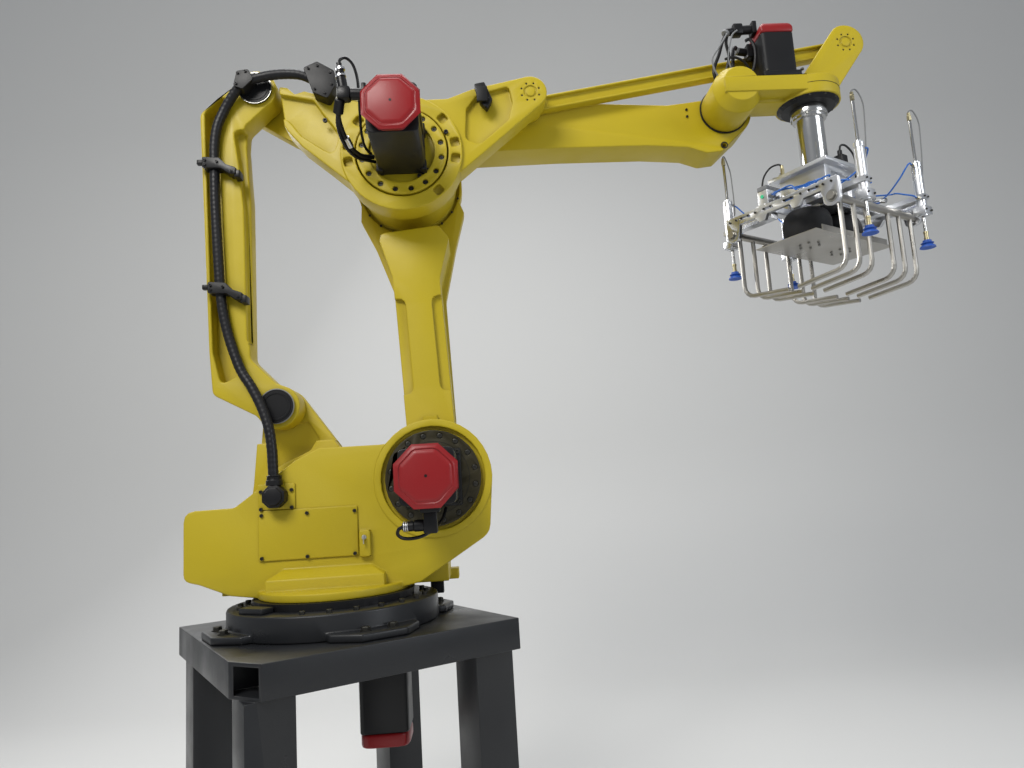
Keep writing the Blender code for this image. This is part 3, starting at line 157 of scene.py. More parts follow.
# %%
def new_group(name, inputs, outputs):
    group = bpy.data.node_groups.new(name, "ShaderNodeTree")
    for label, kind, value in inputs:
        socket = group.interface.new_socket(name=label, in_out="INPUT", socket_type=kind)
        socket.default_value = value
    for label, kind in outputs:
        group.interface.new_socket(name=label, in_out="OUTPUT", socket_type=kind)
    return group


def put(node, values):
    """Sets a node's input sockets, given by name or number."""
    for socket, value in values.items():
        node.inputs[socket].default_value = value
    return node


def link(tree, *runs):
    """Joins sockets, each run given as node, output, node, input."""
    for start, output, end, entry in runs:
        tree.links.new(start.outputs[output], end.inputs[entry])


def grain_group(name, soft=0.0):
    """Cast or powder grain as a bumped normal, with a slow cloud; soft rounds the shading."""
    group = new_group(name, [("Scale", "NodeSocketFloat", 320.0),
        ("Height", "NodeSocketFloat", 0.25)], [("Normal", "NodeSocketVector"),
        ("Cloud", "NodeSocketFloat")])
    make = group.nodes.new
    start, end = make("NodeGroupInput"), make("NodeGroupOutput")
    coords = make("ShaderNodeTexCoord")
    slow = put(make("ShaderNodeTexNoise"), {"Scale": 5.0, "Detail": 5.0})
    fine = put(make("ShaderNodeTexNoise"), {"Detail": 2.0})
    bump = put(make("ShaderNodeBump"), {"Distance": 0.001})
    link(group, (coords, "Object", fine, "Vector"), (coords, "Object", slow, "Vector"),
        (start, "Scale", fine, "Scale"), (start, "Height", bump, "Strength"),
        (fine, "Fac", bump, "Height"))
    if soft:
        edge = put(make("ShaderNodeBevel"), {"Radius": soft})
        edge.samples = 4
        link(group, (edge, "Normal", bump, "Normal"))
    link(group, (bump, "Normal", end, "Normal"), (slow, "Fac", end, "Cloud"))
    return group


def corner_shade_group():
    """Painted shade in corners and creases, as a patchy mask from 0 to 1."""
    group = new_group("corner_shade", [("Reach", "NodeSocketFloat", 0.04)], [("Mask", "NodeSocketFloat")])
    make = group.nodes.new
    start, end = make("NodeGroupInput"), make("NodeGroupOutput")
    coords = make("ShaderNodeTexCoord")
    # Ambient occlusion finds the corners and creases: the mask paints shade there.
    corner = make("ShaderNodeAmbientOcclusion")
    corner.samples = 6
    patch = put(make("ShaderNodeTexNoise"), {"Scale": 14.0, "Detail": 6.0})
    ramp = put(make("ShaderNodeMapRange"), {"From Min": 0.95, "From Max": 0.45})
    mix = make("ShaderNodeMath")
    mix.operation = "MULTIPLY"
    link(group, (start, "Reach", corner, "Distance"), (coords, "Object", patch, "Vector"),
        (corner, "AO", ramp, "Value"), (ramp, "Result", mix, 0), (patch, "Fac", mix, 1),
        (mix, "Value", end, "Mask"))
    return group


GRAIN = grain_group("grain")
CAST_GRAIN = grain_group("cast_grain", 0.007)
# Painted shade for corners and creases, shared by every finish.
CORNER_SHADE = corner_shade_group()


def finish(name, color, roughness, metallic=0.0, grain=320.0, height=0.25, spread=0.12, dark=0.55,
        coat=0.0, corner_shade=0.6, surface_group=GRAIN, specular=0.5):
    """Principled material with grain, an uneven sheen and painted shade in its corners."""
    material = bpy.data.materials.new(name)
    material.use_nodes = True
    tree = material.node_tree
    make = tree.nodes.new
    shader = put(tree.nodes["Principled BSDF"],
        {"Metallic": metallic, "Coat Weight": coat, "Specular IOR Level": specular,
        "Coat Roughness": 0.25})
    surface, corner = make("ShaderNodeGroup"), make("ShaderNodeGroup")
    surface.node_tree, corner.node_tree = surface_group, CORNER_SHADE
    put(surface, {"Scale": grain, "Height": height})
    sheen = put(make("ShaderNodeMapRange"), {"From Min": 0.3, "From Max": 0.7,
        "To Min": max(0.03, roughness - spread), "To Max": min(1.0, roughness + spread)})
    shade, corner_shaded = make("ShaderNodeMix"), make("ShaderNodeMix")
    shade.data_type = corner_shaded.data_type = "RGBA"
    put(shade, {6: (*color, 1.0), 7: (*[c * 0.88 for c in color], 1.0)})
    # The second mix darkens the colour where the corner mask is high: painted shade in corners and
    # creases.
    put(corner_shaded, {7: (*[c * dark for c in color], 1.0)})
    weight = make("ShaderNodeMath")
    weight.operation = "MULTIPLY"
    put(weight, {1: corner_shade})
    link(tree, (surface, "Cloud", sheen, "Value"), (surface, "Cloud", shade, 0),
        (shade, 2, corner_shaded, 6), (corner, "Mask", weight, 0), (weight, "Value", corner_shaded, 0),
        (corner_shaded, 2, shader, "Base Color"), (sheen, "Result", shader, "Roughness"),
        (surface, "Normal", shader, "Normal"))
    return material


YELLOW = finish("yellow_paint", (0.5, 0.385, 0.012), 0.46, grain=210.0, height=0.35, coat=0.05,
    dark=0.38, surface_group=CAST_GRAIN, specular=0.35)
CHARCOAL = finish("charcoal_paint", (0.014, 0.015, 0.017), 0.38, grain=260.0, height=0.25,
    coat=0.05, specular=0.4)
BLACK = finish("black_enamel", (0.007, 0.007, 0.008), 0.42, grain=420.0, height=0.15, specular=0.3)
RED = finish("red_enamel", (0.26, 0.008, 0.01), 0.38, grain=420.0, height=0.1, coat=0.08,
    specular=0.35)
OLIVE = finish("oiled_ring", (0.032, 0.026, 0.009), 0.4, metallic=0.3)
SILVER = finish("milled_aluminium", (0.76, 0.77, 0.79), 0.3, metallic=1.0, grain=600.0, height=0.08,
    corner_shade=0.3)
STEEL = finish("polished_steel", (0.6, 0.6, 0.59), 0.16, metallic=1.0, grain=500.0, height=0.04,
    spread=0.06, corner_shade=0.2)
SATIN = finish("satin_steel", (0.48, 0.46, 0.42), 0.34, metallic=1.0, grain=500.0, height=0.05,
    corner_shade=0.3)
ZINC = finish("zinc_bolt", (0.42, 0.42, 0.4), 0.35, metallic=1.0, grain=700.0, height=0.08)
DARK_BOLT = finish("dark_bolt", (0.06, 0.058, 0.05), 0.4, metallic=0.8, grain=700.0, height=0.08)
RUBBER = finish("black_rubber", (0.014, 0.014, 0.015), 0.58, grain=700.0, height=0.2, specular=0.35)
HOSE = finish("ribbed_hose", (0.009, 0.009, 0.011), 0.45, grain=600.0, height=0.15, specular=0.3)
BLUE = finish("blue_rubber", (0.02, 0.09, 0.42), 0.45, grain=500.0, height=0.1)
TUBE_BLUE = finish("blue_tube", (0.02, 0.14, 0.52), 0.28, grain=300.0, height=0.03)
BRASS = finish("brass_fitting", (0.5, 0.44, 0.27), 0.32, metallic=1.0, grain=700.0, height=0.05)
GREEN = finish("green_lamp", (0.05, 0.62, 0.3), 0.25, grain=300.0, height=0.02)
GREY = finish("grey_plastic", (0.18, 0.185, 0.19), 0.5, grain=500.0, height=0.06)

# %% [markdown]
# ## Shapes used all over the machine
#
# Each helper adds one closed form to a bmesh, so many small parts share one object.

# %%
def shown(name, shape, holder, material, smooth=35.0):
    """Turns a bmesh into a piece that rides on a body."""
    bmesh.ops.recalc_face_normals(shape, faces=shape.faces)
    mesh = bpy.data.meshes.new(name)
    shape.to_mesh(mesh)
    shape.free()
    mesh.materials.append(material)
    mesh.shade_smooth()
    mesh.set_sharp_from_angle(angle=math.radians(smooth))
    piece = bpy.data.objects.new(name, mesh)
    bpy.context.scene.collection.objects.link(piece)
    if holder:
        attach(piece, holder)
    return piece


def lathe(shape, place, axis, profile, steps=20):
    """Turned form along an axis, spun from a profile of (radius, distance) pairs."""
    turn = Vector((0.0, 0.0, 1.0)).rotation_difference(Vector(axis)).to_matrix()
    known = len(shape.verts)
    line = [shape.verts.new(place + turn @ Vector((radius, 0.0, along)))
        for radius, along in profile]
    edges = [shape.edges.new(pair) for pair in zip(line, line[1:])]
    bmesh.ops.spin(shape, geom=line + edges, cent=place, axis=turn.col[2], angle=2 * math.pi,
        steps=steps, use_merge=True)
    shape.verts.ensure_lookup_table()
    bmesh.ops.remove_doubles(shape, verts=shape.verts[known:], dist=0.000001)


def disc(radius, height):
    """Profile of a plain round plate."""
    return [(0.0, 0.0), (radius, 0.0), (radius, height), (0.0, height)]


def solid(*points):
    """Profile that runs from the axis over its points and back to the axis."""
    return [(0.0, points[0][1]), *points, (0.0, points[-1][1])]


def ring(inner, outer, height):
    """Profile of a plain flat ring."""
    return [(inner, 0.0), (outer, 0.0), (outer, height), (inner, height), (inner, 0.0)]


def rod(shape, start, end, radius, steps=16, chamfer=0.0):
    length = (end - start).length
    lathe(shape, start, end - start, solid((radius - chamfer, 0.0), (radius, chamfer),
        (radius, length - chamfer), (radius - chamfer, length))
        if chamfer else disc(radius, length), steps)


def cap_screw(shape, place, axis, size, height=None):
    """Round head with its socket; size is the head's radius."""
    high = height or size * 1.1
    lathe(shape, place, axis, solid((size, 0.0), (size, high * 0.86), (size * 0.88, high),
        (size * 0.5, high), (size * 0.46, high * 0.45)), 18)


def hex_bolt(shape, place, axis, size):
    """Hexagon head on its washer; size is the head's outer radius."""
    lathe(shape, place, axis, disc(size * 1.22, size * 0.18), 20)
    head = place + Vector(axis).normalized() * size * 0.18
    lathe(shape, head, axis, solid((size, 0.0), (size, size * 0.6), (size * 0.86, size * 0.74)), 6)


def brick(shape, low, high, chamfer=0.0, place=None):
    """Box between two corners, with chamfered edges; place turns its corners into places."""
    verts = bmesh.ops.create_cube(shape, size=1.0)["verts"]
    for vert in verts:
        corner = [low[i] + (vert.co[i] + 0.5) * (high[i] - low[i]) for i in range(3)]
        vert.co = place(*corner) if place else corner
    if chamfer:
        edges = list({edge for vert in verts for edge in vert.link_edges})
        bmesh.ops.bevel(shape, geom=edges, offset=chamfer, offset_type="OFFSET", affect="EDGES",
            segments=2, profile=0.5, material=-1, clamp_overlap=False)


def slab(shape, outline, near, far):
    """Plate from an outline of (x, z) pairs, extruded between two Y planes."""
    face = shape.faces.new([shape.verts.new((x, near, z)) for x, z in outline])
    grown = bmesh.ops.extrude_face_region(shape, geom=[face])["geom"]
    bmesh.ops.translate(shape, verts=[part for part in grown
        if isinstance(part, bmesh.types.BMVert)], vec=(0.0, far - near, 0.0))


def curve_through(points, parts=6):
    """Smooth curve that passes through every point."""
    points = [Vector(point) for point in points]
    ends = [points[0] * 2 - points[1]] + points + [points[-1] * 2 - points[-2]]
    path = []
    for before, here, after, onward in zip(ends, ends[1:], ends[2:], ends[3:]):
        for part in range(parts):
            t = part / parts
            path.append(0.5 * (here * 2 + (after - before) * t
                + (before * 2 - here * 5 + after * 4 - onward) * t ** 2
                + (here * 3 - before - after * 3 + onward) * t ** 3))
    return path + [points[-1]]


def evenly(path, step):
    """The same path with its points a fixed step apart."""
    spaced, left = [path[0]], step
    for start, end in zip(path, path[1:]):
        span = (end - start).length
        while span >= left:
            start = start + (end - start).normalized() * left
            spaced.append(start)
            span -= left
            left = step
        left -= span
    return spaced + [path[-1]]


def tube(shape, path, radius, steps=10, widths=None):
    """Round tube along a path, closed at its ends; widths scale the radius in turn to make ribs."""
    side = None
    rings = []
    for index, here in enumerate(path):
        run = (path[min(index + 1, len(path) - 1)] - path[max(index - 1, 0)]).normalized()
        if side is None:
            side = run.orthogonal().normalized()
        side = (side - run * side.dot(run)).normalized()
        up = run.cross(side)
        size = radius * (widths[index % len(widths)] if widths else 1.0)
        rings.append([shape.verts.new(here + (side * math.cos(a) + up * math.sin(a)) * size)
            for a in (2 * math.pi * step / steps for step in range(steps))])
    for low, high in zip(rings, rings[1:]):
        for i in range(steps):
            j = (i + 1) % steps
            shape.faces.new((low[i], low[j], high[j], high[i]))
    shape.faces.new(rings[0])
    shape.faces.new(rings[-1])


def cable(shape, points, radius, parts=8, steps=10):
    tube(shape, curve_through(points, parts), radius, steps)


def circle_of(joint, radius, count, y, offset=0.0):
    """Places on a circle round a joint, in a plane of constant Y."""
    return [at(joint, radius * math.cos(a), y, radius * math.sin(a))
        for a in (math.radians(offset) + 2 * math.pi * i / count for i in range(count))]


def level_circle(radius, z, count, offset):
    """Places on a level circle round the tool's axis."""
    return [Vector((TOOL.x + radius * math.cos(a), HOME.y + radius * math.sin(a), z))
        for a in (math.radians(offset + 360 / count * i) for i in range(count))]


def screws(name, places, axis, size, holder, material, height=None):
    """Cap screws of one size as a piece of their own."""
    heads = bmesh.new()
    for place in places:
        cap_screw(heads, place, axis, size, height)
    shown(name, heads, holder, material)


NEAR = Vector((0.0, -1.0, 0.0))
AWAY = Vector((0.0, 1.0, 0.0))
UP = Vector((0.0, 0.0, 1.0))
DOWN = Vector((0.0, 0.0, -1.0))

# %% [markdown]
# ## Softer copies of the castings
#
# A CAD node is loose triangles, so a copy is welded, its flat faces are joined and its edges
# rounded. The copy then stands for the node.

# %%
def welded(node):
    shape = bmesh.new()
    shape.from_mesh(nodes[node].data)
    bmesh.ops.remove_doubles(shape, verts=shape.verts, dist=0.00005)
    bmesh.ops.dissolve_limit(shape, angle_limit=math.radians(0.8), verts=shape.verts,
        edges=shape.edges)
    return shape


def soften(node, material, width, segments=3, sharpest=28.0):
    """Rounded copy of a CAD node that stands for it; edges in a fine zone get a narrow bevel."""
    def in_zone(edge):
        middle = (edge.verts[0].co + edge.verts[1].co) / 2
        return any(math.hypot(middle.x - zone[0].x, middle.z - zone[0].z) < zone[1]
            for zone in FINE.get(node, ()))

    shape = welded(node)
    limit = math.radians(sharpest)
    sharp = [e for e in shape.edges if e.is_manifold and e.calc_face_angle(0.0) > limit]
    narrow = [e for e in sharp if in_zone(e)]
    for edges, offset in (([e for e in sharp if not in_zone(e)], width),
            (narrow, min(width, FINE_BEVEL))):
        edges = [e for e in edges if e.is_valid]
        if edges:
            bmesh.ops.bevel(shape, geom=edges, offset=offset, offset_type="OFFSET", affect="EDGES",
                segments=segments, profile=0.5, material=-1, clamp_overlap=False)
    piece = shown(node + "_soft", shape, body[node], material, 40.0)
    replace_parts(piece, node)
    return piece


def paint(node, material):
    nodes[node].data.materials.clear()
    nodes[node].data.materials.append(material)


FINE_BEVEL = 0.0012
HOLE = Vector((WRIST.x - 0.012, 0.0, WRIST.z - 0.15))
FINE = {"upper_arm": ((ELBOW, 0.25), (WRIST, 0.125), (HOLE, 0.045)),
    "bell_crank": ((ELBOW, 0.15), (FRONT, 0.05), (REAR_TOP, 0.06)),
    "wrist": ((EAR, 0.055), (WRIST, 0.1)), "upper_link": ((EAR, 0.06), (FRONT, 0.06)),
    "rear_link": ((REAR_TOP, 0.07), (REAR_LOW, 0.07)), "turret": ((SHOULDER, 0.2),)}
# Finish, bevel and names of the softened pieces, then finish and names of the painted ones.
SOFTENED = (
    (YELLOW, 0.003, "turret"), (YELLOW, 0.0015, "lower_arm"), (YELLOW, 0.005, "rear_link"),
    (YELLOW, 0.003, "bell_crank upper_arm upper_link"), (YELLOW, 0.0025, "wrist"),
    (YELLOW, 0.0015, "turret_cover conduit_flange"), (CHARCOAL, 0.003, "stand"),
    (CHARCOAL, 0.006, "base_casting"), (CHARCOAL, 0.003, "base_connector_box"),
    (BLACK, 0.003, "shoulder_motor elbow_motor"), (BLACK, 0.006, "base_motor"),
    (BLACK, 0.004, "wrist_motor"), (RED, 0.01, "shoulder_motor_cap elbow_motor_cap base_motor_cap"),
    (RED, 0.008, "wrist_motor_cap"), (OLIVE, 0.001, "shoulder_ring"),
    (BLACK, 0.003, "conduit_gland"), (SILVER, 0.0015, "gripper_frame"),
    (SILVER, 0.001, "gripper_rail_near gripper_rail_far"), (STEEL, 0.001, "tool_mast"),
    (BLACK, 0.002, "slew_dog arm_clamp crank_clamp pivot_clamp link_clamp_lower link_clamp_upper"),
    (SILVER, 0.0015, "valve_block"),
)
PAINTED = (
    (BLACK, "slewing_ring rear_link_lower_cover rear_link_upper_cover wrist_seal"),
    (SATIN, "tine_set_left tine_set_right press_plate"), (RUBBER, "air_spring_near air_spring_far"),
    (HOSE, "conduit_lower conduit_link conduit_top"),
)
for material, width, names in SOFTENED:
    for name in names.split():
        soften(name, material, width)
for material, names in PAINTED:
    for name in names.split():
        paint(name, material)
for index in range(1, 5):
    paint("cup_cylinder_%d" % index, SILVER)
    paint("cup_%d" % index, BLUE)

# %% [markdown]
# ## The ribbed conduit
#
# The hose follows the CAD's route in three parts. The lowest stretches between the turret and the
# rear link, the middle rides on the link, and the last lies over the top pivot on the bell crank.

# %%
RIB_STEP = 0.0045
RIBS = (0.965, 0.965, 1.0, 1.0)


def conduit_route():
    """Centre line of the conduit, counted from the joints as in the CAD."""
    link_y = LINK_FACE - 0.02
    loop = run_at(SHOULDER, (-0.543, -0.111, 0.0063)) + run_at(REAR_LOW, (0.001, -0.111, -0.236),
        (-0.003, -0.108, -0.159), (-0.015, -0.1, -0.082), (-0.042, -0.09, -0.004),
        (-0.079, -0.08, 0.07), (-0.119, -0.07, 0.135), (-0.155, link_y - 0.002, 0.233),
        (-0.175, link_y, 0.31), (-0.188, link_y, 0.388))
    rise = run_at(REAR_LOW, (-0.1975, link_y, 0.52)) + run_at(REAR_TOP, (-0.1465, link_y, -0.455),
        (-0.1485, link_y, -0.306), (-0.1485, link_y, -0.23), (-0.1375, link_y, -0.154),
        (-0.1095, link_y, -0.086), (-0.0695, link_y - 0.012, -0.03),
        (-0.0265, link_y - 0.026, 0.004))
    over = run_at(REAR_TOP, (0.0375, link_y - 0.03, 0.021), (0.1095, link_y - 0.032, 0.029),
        (0.1815, link_y - 0.034, 0.022), (0.2385, link_y - 0.036, -0.006))
    run = curve_through(loop + rise + over, 12)
    low = 12 * (len(loop) - 1)
    top = low + 12 * len(rise)
    return run[:low + 1], run[low:top + 1], run[top:]


def ribbed(name, path, holder):
    shape = bmesh.new()
    tube(shape, evenly(path, RIB_STEP), 0.018, 14, RIBS)
    return shown(name, shape, holder, HOSE, 50.0)


low_run, link_run, top_run = conduit_route()
stretched = ribbed("conduit_lower_ribs", low_run, None)
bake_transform(stretched)
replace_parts(stretched, "conduit_lower")
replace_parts(ribbed("conduit_link_ribs", link_run, body["rear_link"]), "conduit_link")
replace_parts(ribbed("conduit_top_ribs", top_run, body["bell_crank"]), "conduit_top")

collars = bmesh.new()
gland_top = at(SHOULDER, -0.543, -0.111, 0.0063)
lathe(collars, gland_top, UP, solid((0.027, 0.0), (0.028, 0.004), (0.028, 0.016), (0.025, 0.02),
    (0.0225, 0.034), (0.019, 0.036)), 24)
for step in range(3):
    lathe(collars, gland_top + UP * (0.02 + step * 0.005), UP,
        solid((0.0245, 0.0), (0.0255, 0.001), (0.0255, 0.003), (0.0245, 0.004)), 24)
shown("gland_collar", collars, body["turret"], BLACK)

# %% [markdown]
# ## Turret: cover, ring and base joint
#
# The cover's screws, the ring bolts, the key switch and the shoulder motor's connector.

# %%
turret_bolts = bmesh.new()
cover_face = RING_FACE - 0.006
for x, z in ((-0.228, 1.458), (-0.073, 1.458), (0.09, 1.456), (-0.228, 1.313), (-0.074, 1.311),
        (0.088, 1.311), (-0.229, 1.539), (-0.124, 1.541), (-0.229, 1.479), (-0.124, 1.481)):
    cap_screw(turret_bolts, spot(x, cover_face, z), NEAR, 0.0062)
for place in circle_of(SHOULDER, BOLT_CIRCLE, 16, RING_FACE + 0.0025, 11.25):
    cap_screw(turret_bolts, place, NEAR, 0.0088, 0.0035)
shown("turret_screws", turret_bolts, body["turret"], DARK_BOLT)

rings = bmesh.new()
lathe(rings, at(SHOULDER, 0.0, RING_FACE - 0.0022, 0.0), AWAY, ring(0.127, 0.1285, 0.0006), 72)
shown("ring_seam", rings, body["turret"], BLACK)

motor_foot = bmesh.new()
foot_half = 0.1
brick(motor_foot, at(SHOULDER, -foot_half, RING_FACE - 0.02, -foot_half),
    at(SHOULDER, foot_half, RING_FACE - 0.0025, foot_half), 0.005)
shown("shoulder_motor_foot", motor_foot, body["turret"], BLACK)
screws("shoulder_motor_bolts", [at(SHOULDER, sx * 0.088, RING_FACE - 0.02, sz * 0.088)
    for sx in (-1, 1) for sz in (-1, 1)], NEAR, 0.0085, body["turret"], DARK_BOLT)


def motor_trim(name, joint, face, holder):
    """Two seams down a square motor, and the screw in its cap."""
    dark = bmesh.new()
    for depth in (0.03, 0.262):
        near = face - SEAT - depth
        brick(dark, at(joint, -MOTOR_HALF - 0.0006, near - 0.0012, -MOTOR_HALF * 0.8),
            at(joint, -MOTOR_HALF + 0.004, near, MOTOR_HALF * 0.8))
    cap_face = face - MOTOR_LENGTH - 2 * SEAT - CAP_LENGTH
    lathe(dark, at(joint, 0.0, cap_face + 0.001, 0.0), NEAR, disc(0.0045, 0.0018), 16)
    shown(name, dark, holder, BLACK)


motor_trim("shoulder_motor_trim", SHOULDER, RING_FACE - 0.002, body["turret"])
motor_trim("elbow_motor_trim", ELBOW, RING_FACE + 0.012, body["upper_arm"])

plug_y = -0.354
plug = bmesh.new()
brick(plug, at(SHOULDER, -0.03, -0.38, -0.112), at(SHOULDER, 0.034, -0.318, -0.086), 0.004)
brick(plug, at(SHOULDER, -0.02, -0.376, -0.176), at(SHOULDER, 0.024, -0.332, -0.108), 0.006)
rod(plug, at(SHOULDER, -0.018, plug_y, -0.15), at(SHOULDER, -0.05, plug_y, -0.15), 0.0185, 20,
    0.002)
rod(plug, at(SHOULDER, -0.05, plug_y, -0.15), at(SHOULDER, -0.068, plug_y, -0.151), 0.016, 20,
    0.002)
rod(plug, at(SHOULDER, -0.074, plug_y, -0.151), at(SHOULDER, -0.086, plug_y, -0.151), 0.013, 18,
    0.002)
cable(plug, run_at(SHOULDER, (-0.084, plug_y, -0.151), (-0.098, -0.352, -0.158),
    (-0.102, -0.346, -0.174), (-0.086, -0.336, -0.187), (-0.056, -0.32, -0.19),
    (-0.024, -0.29, -0.184), (0.006, -0.23, -0.168), (0.03, -0.15, -0.14), (0.04, -0.1, -0.108)),
    0.0055)
shown("shoulder_plug", plug, body["turret"], BLACK)
plug_rings = bmesh.new()
for step in range(3):
    rod(plug_rings, at(SHOULDER, -0.0685 - step * 0.0055, plug_y, -0.151),
        at(SHOULDER, -0.0715 - step * 0.0055, plug_y, -0.151), 0.0168, 20, 0.0006)
shown("shoulder_plug_rings", plug_rings, body["turret"], SILVER)

key = bmesh.new()
lathe(key, spot(0.122, RING_FACE - 0.02, 1.364), NEAR,
    solid((0.0085, 0.0), (0.0085, 0.003), (0.007, 0.005)), 20)
brick(key, spot(0.121, RING_FACE - 0.04, 1.342), spot(0.1235, RING_FACE - 0.025, 1.372), 0.0005)
shown("key_switch", key, body["turret"], SILVER)

# %% [markdown]
# ## Rear link and bell crank: covers and clamp screws
#
# The two black pivot covers get a raised ring and a silver edge, and each clamp gets its screws.

# %%
link_dark, link_bright, crank_dark = bmesh.new(), bmesh.new(), bmesh.new()
for joint in (REAR_LOW, REAR_TOP):
    lathe(link_bright, at(joint, 0.0, LINK_FACE - 0.0125, 0.0), NEAR, ring(0.06, 0.0635, 0.003), 48)
    lathe(link_dark, at(joint, 0.0, LINK_FACE - 0.018, 0.0), NEAR,
        [(0.044, 0.0), (0.052, 0.0), (0.051, 0.0022), (0.045, 0.0022), (0.044, 0.0)], 40)
clamp_face = LINK_FACE - 0.02 - 0.018 - 0.012
for joint, x, height in ((REAR_LOW, -0.192, 0.44), (REAR_TOP, -0.1485, -0.306)):
    for dx, dz in ((-0.026, 0.006), (-0.026, -0.01), (0.018, -0.002), (0.07, -0.04)):
        cap_screw(link_dark, at(joint, x + dx, clamp_face, height + dz), NEAR, 0.005)
    brick(link_dark, at(joint, x - 0.058, clamp_face + 0.006, height - 0.006),
        at(joint, x - 0.034, clamp_face + 0.026, height + 0.012), 0.003)
    brick(link_dark, at(joint, x + 0.078, clamp_face + 0.004, height - 0.062),
        at(joint, x + 0.1, LINK_FACE - 0.0004, height - 0.034), 0.003)
for dx, dz in ((-0.046, 0.03), (-0.018, 0.036), (-0.052, -0.012)):
    cap_screw(link_dark, at(REAR_TOP, dx, LINK_FACE - 0.068, dz), NEAR, 0.005)
shown("link_screws", link_dark, body["rear_link"], BLACK)
shown("link_cover_rings", link_bright, body["rear_link"], ZINC)

crank_face = LINK_FACE - 0.02 - 0.036 - 0.018 - 0.01
for dx, dz in ((0.218, 0.03), (0.252, 0.04), (0.298, 0.012), (0.302, -0.036), (0.276, -0.07),
        (0.24, -0.054)):
    cap_screw(crank_dark, at(REAR_TOP, dx, crank_face, dz), NEAR, 0.0048)
for dx, dz in ((0.304, 0.24), (0.336, 0.19), (0.322, 0.164)):
    cap_screw(crank_dark, at(ELBOW, dx, -0.09, dz), NEAR, 0.0052)
brick(crank_dark, at(ELBOW, 0.292, -0.106, 0.176), at(ELBOW, 0.334, -0.0898, 0.236), 0.003)
for x, z in ((0.024, 2.907), (0.474, 2.844)):
    cap_screw(crank_dark, spot(x, -0.0755, z), NEAR, 0.0085)
shown("crank_screws", crank_dark, body["bell_crank"], BLACK)

# %% [markdown]
# ## Elbow motor: flange, connectors and cables

# %%
elbow_bolts = bmesh.new()
for place in circle_of(ELBOW, BOLT_CIRCLE, 16, RING_FACE + 0.0125, 11.25):
    cap_screw(elbow_bolts, place, NEAR, 0.0088, 0.006)
for dx, dz in ((-MOTOR_HALF - 0.006, -MOTOR_HALF + 0.01), (MOTOR_HALF + 0.006, -MOTOR_HALF + 0.01),
        (0.062, -MOTOR_HALF - 0.01), (-MOTOR_HALF - 0.006, MOTOR_HALF - 0.01),
        (MOTOR_HALF + 0.006, MOTOR_HALF - 0.01)):
    cap_screw(elbow_bolts, at(ELBOW, dx, RING_FACE + 0.01, dz), NEAR, 0.008)
shown("elbow_bolts", elbow_bolts, body["upper_arm"], DARK_BOLT)

elbow_foot = bmesh.new()
for side in (-1, 1):
    left, right = sorted((side * (MOTOR_HALF - 0.02), side * (MOTOR_HALF + 0.004)))
    for low, high in ((-MOTOR_HALF - 0.003, -MOTOR_HALF + 0.036),
            (MOTOR_HALF - 0.036, MOTOR_HALF + 0.003)):
        brick(elbow_foot, at(ELBOW, left, RING_FACE - 0.034, low),
            at(ELBOW, right, RING_FACE + 0.0115, high), 0.003)
shown("elbow_motor_foot", elbow_foot, body["upper_arm"], BLACK)

plug_y = -0.346
plugs = bmesh.new()
brick(plugs, at(ELBOW, -MOTOR_HALF - 0.014, -0.372, 0.046),
    at(ELBOW, -MOTOR_HALF + 0.002, -0.318, 0.108), 0.004)
rod(plugs, at(ELBOW, -MOTOR_HALF - 0.012, plug_y, 0.078), at(ELBOW, -0.142, plug_y, 0.08), 0.02, 20,
    0.003)
brick(plugs, at(ELBOW, -0.186, -0.368, 0.056), at(ELBOW, -0.14, -0.324, 0.104), 0.01)
rod(plugs, at(ELBOW, -0.166, plug_y, 0.1), at(ELBOW, -0.172, plug_y, 0.14), 0.017, 20, 0.002)
rod(plugs, at(ELBOW, -0.1735, plug_y, 0.15), at(ELBOW, -0.176, plug_y, 0.166), 0.015, 20, 0.002)
rod(plugs, at(ELBOW, -0.1765, plug_y, 0.178), at(ELBOW, -0.178, plug_y, 0.196), 0.0095, 16, 0.002)
cable(plugs, run_at(ELBOW, (-0.178, plug_y, 0.194), (-0.172, -0.344, 0.21), (-0.154, -0.338, 0.218),
    (-0.134, -0.33, 0.2), (-0.122, -0.32, 0.16), (-0.12, -0.3, 0.11), (-0.124, -0.262, 0.06),
    (-0.13, -0.2, 0.016), (-0.126, -0.14, -0.01), (-0.11, -0.092, -0.016)), 0.005)
rod(plugs, at(ELBOW, -0.178, plug_y, 0.062), at(ELBOW, -0.19, -0.318, 0.026), 0.0175, 20, 0.003)
cable(plugs, run_at(ELBOW, (-0.19, -0.318, 0.028), (-0.19, -0.29, 0.006), (-0.182, -0.24, -0.02),
    (-0.168, -0.19, -0.036), (-0.146, -0.14, -0.04), (-0.12, -0.11, -0.034),
    (-0.104, -0.092, -0.026)), 0.0085)
cable(plugs, run_at(ELBOW, (-0.186, -0.33, 0.04), (-0.198, -0.29, 0.004), (-0.192, -0.236, -0.03),
    (-0.176, -0.18, -0.046), (-0.152, -0.136, -0.05), (-0.118, -0.1, -0.044),
    (-0.098, -0.08, -0.04)), 0.006)
shown("elbow_plugs", plugs, body["upper_arm"], BLACK)
plug_bright = bmesh.new()
for low, high, radius in ((0.141, 0.149, 0.0185), (0.167, 0.177, 0.0155)):
    rod(plug_bright, at(ELBOW, -0.172, plug_y, low), at(ELBOW, -0.1735, plug_y, high), radius, 20,
        0.001)
rod(plug_bright, at(ELBOW, -0.18, -0.236, -0.018), at(ELBOW, -0.17, -0.196, -0.034), 0.012, 18,
    0.002)
shown("elbow_plug_rings", plug_bright, body["upper_arm"], SILVER)

# %% [markdown]
# ## Lower arm: stop lug and screws round the elbow's groove

# %%
LEAN = (ELBOW - SHOULDER).normalized()
ACROSS = Vector((LEAN.z, 0.0, -LEAN.x))


def on_arm(up, aside, y):
    place = SHOULDER + LEAN * up + ACROSS * aside
    return Vector((place.x, HOME.y + y, place.z))


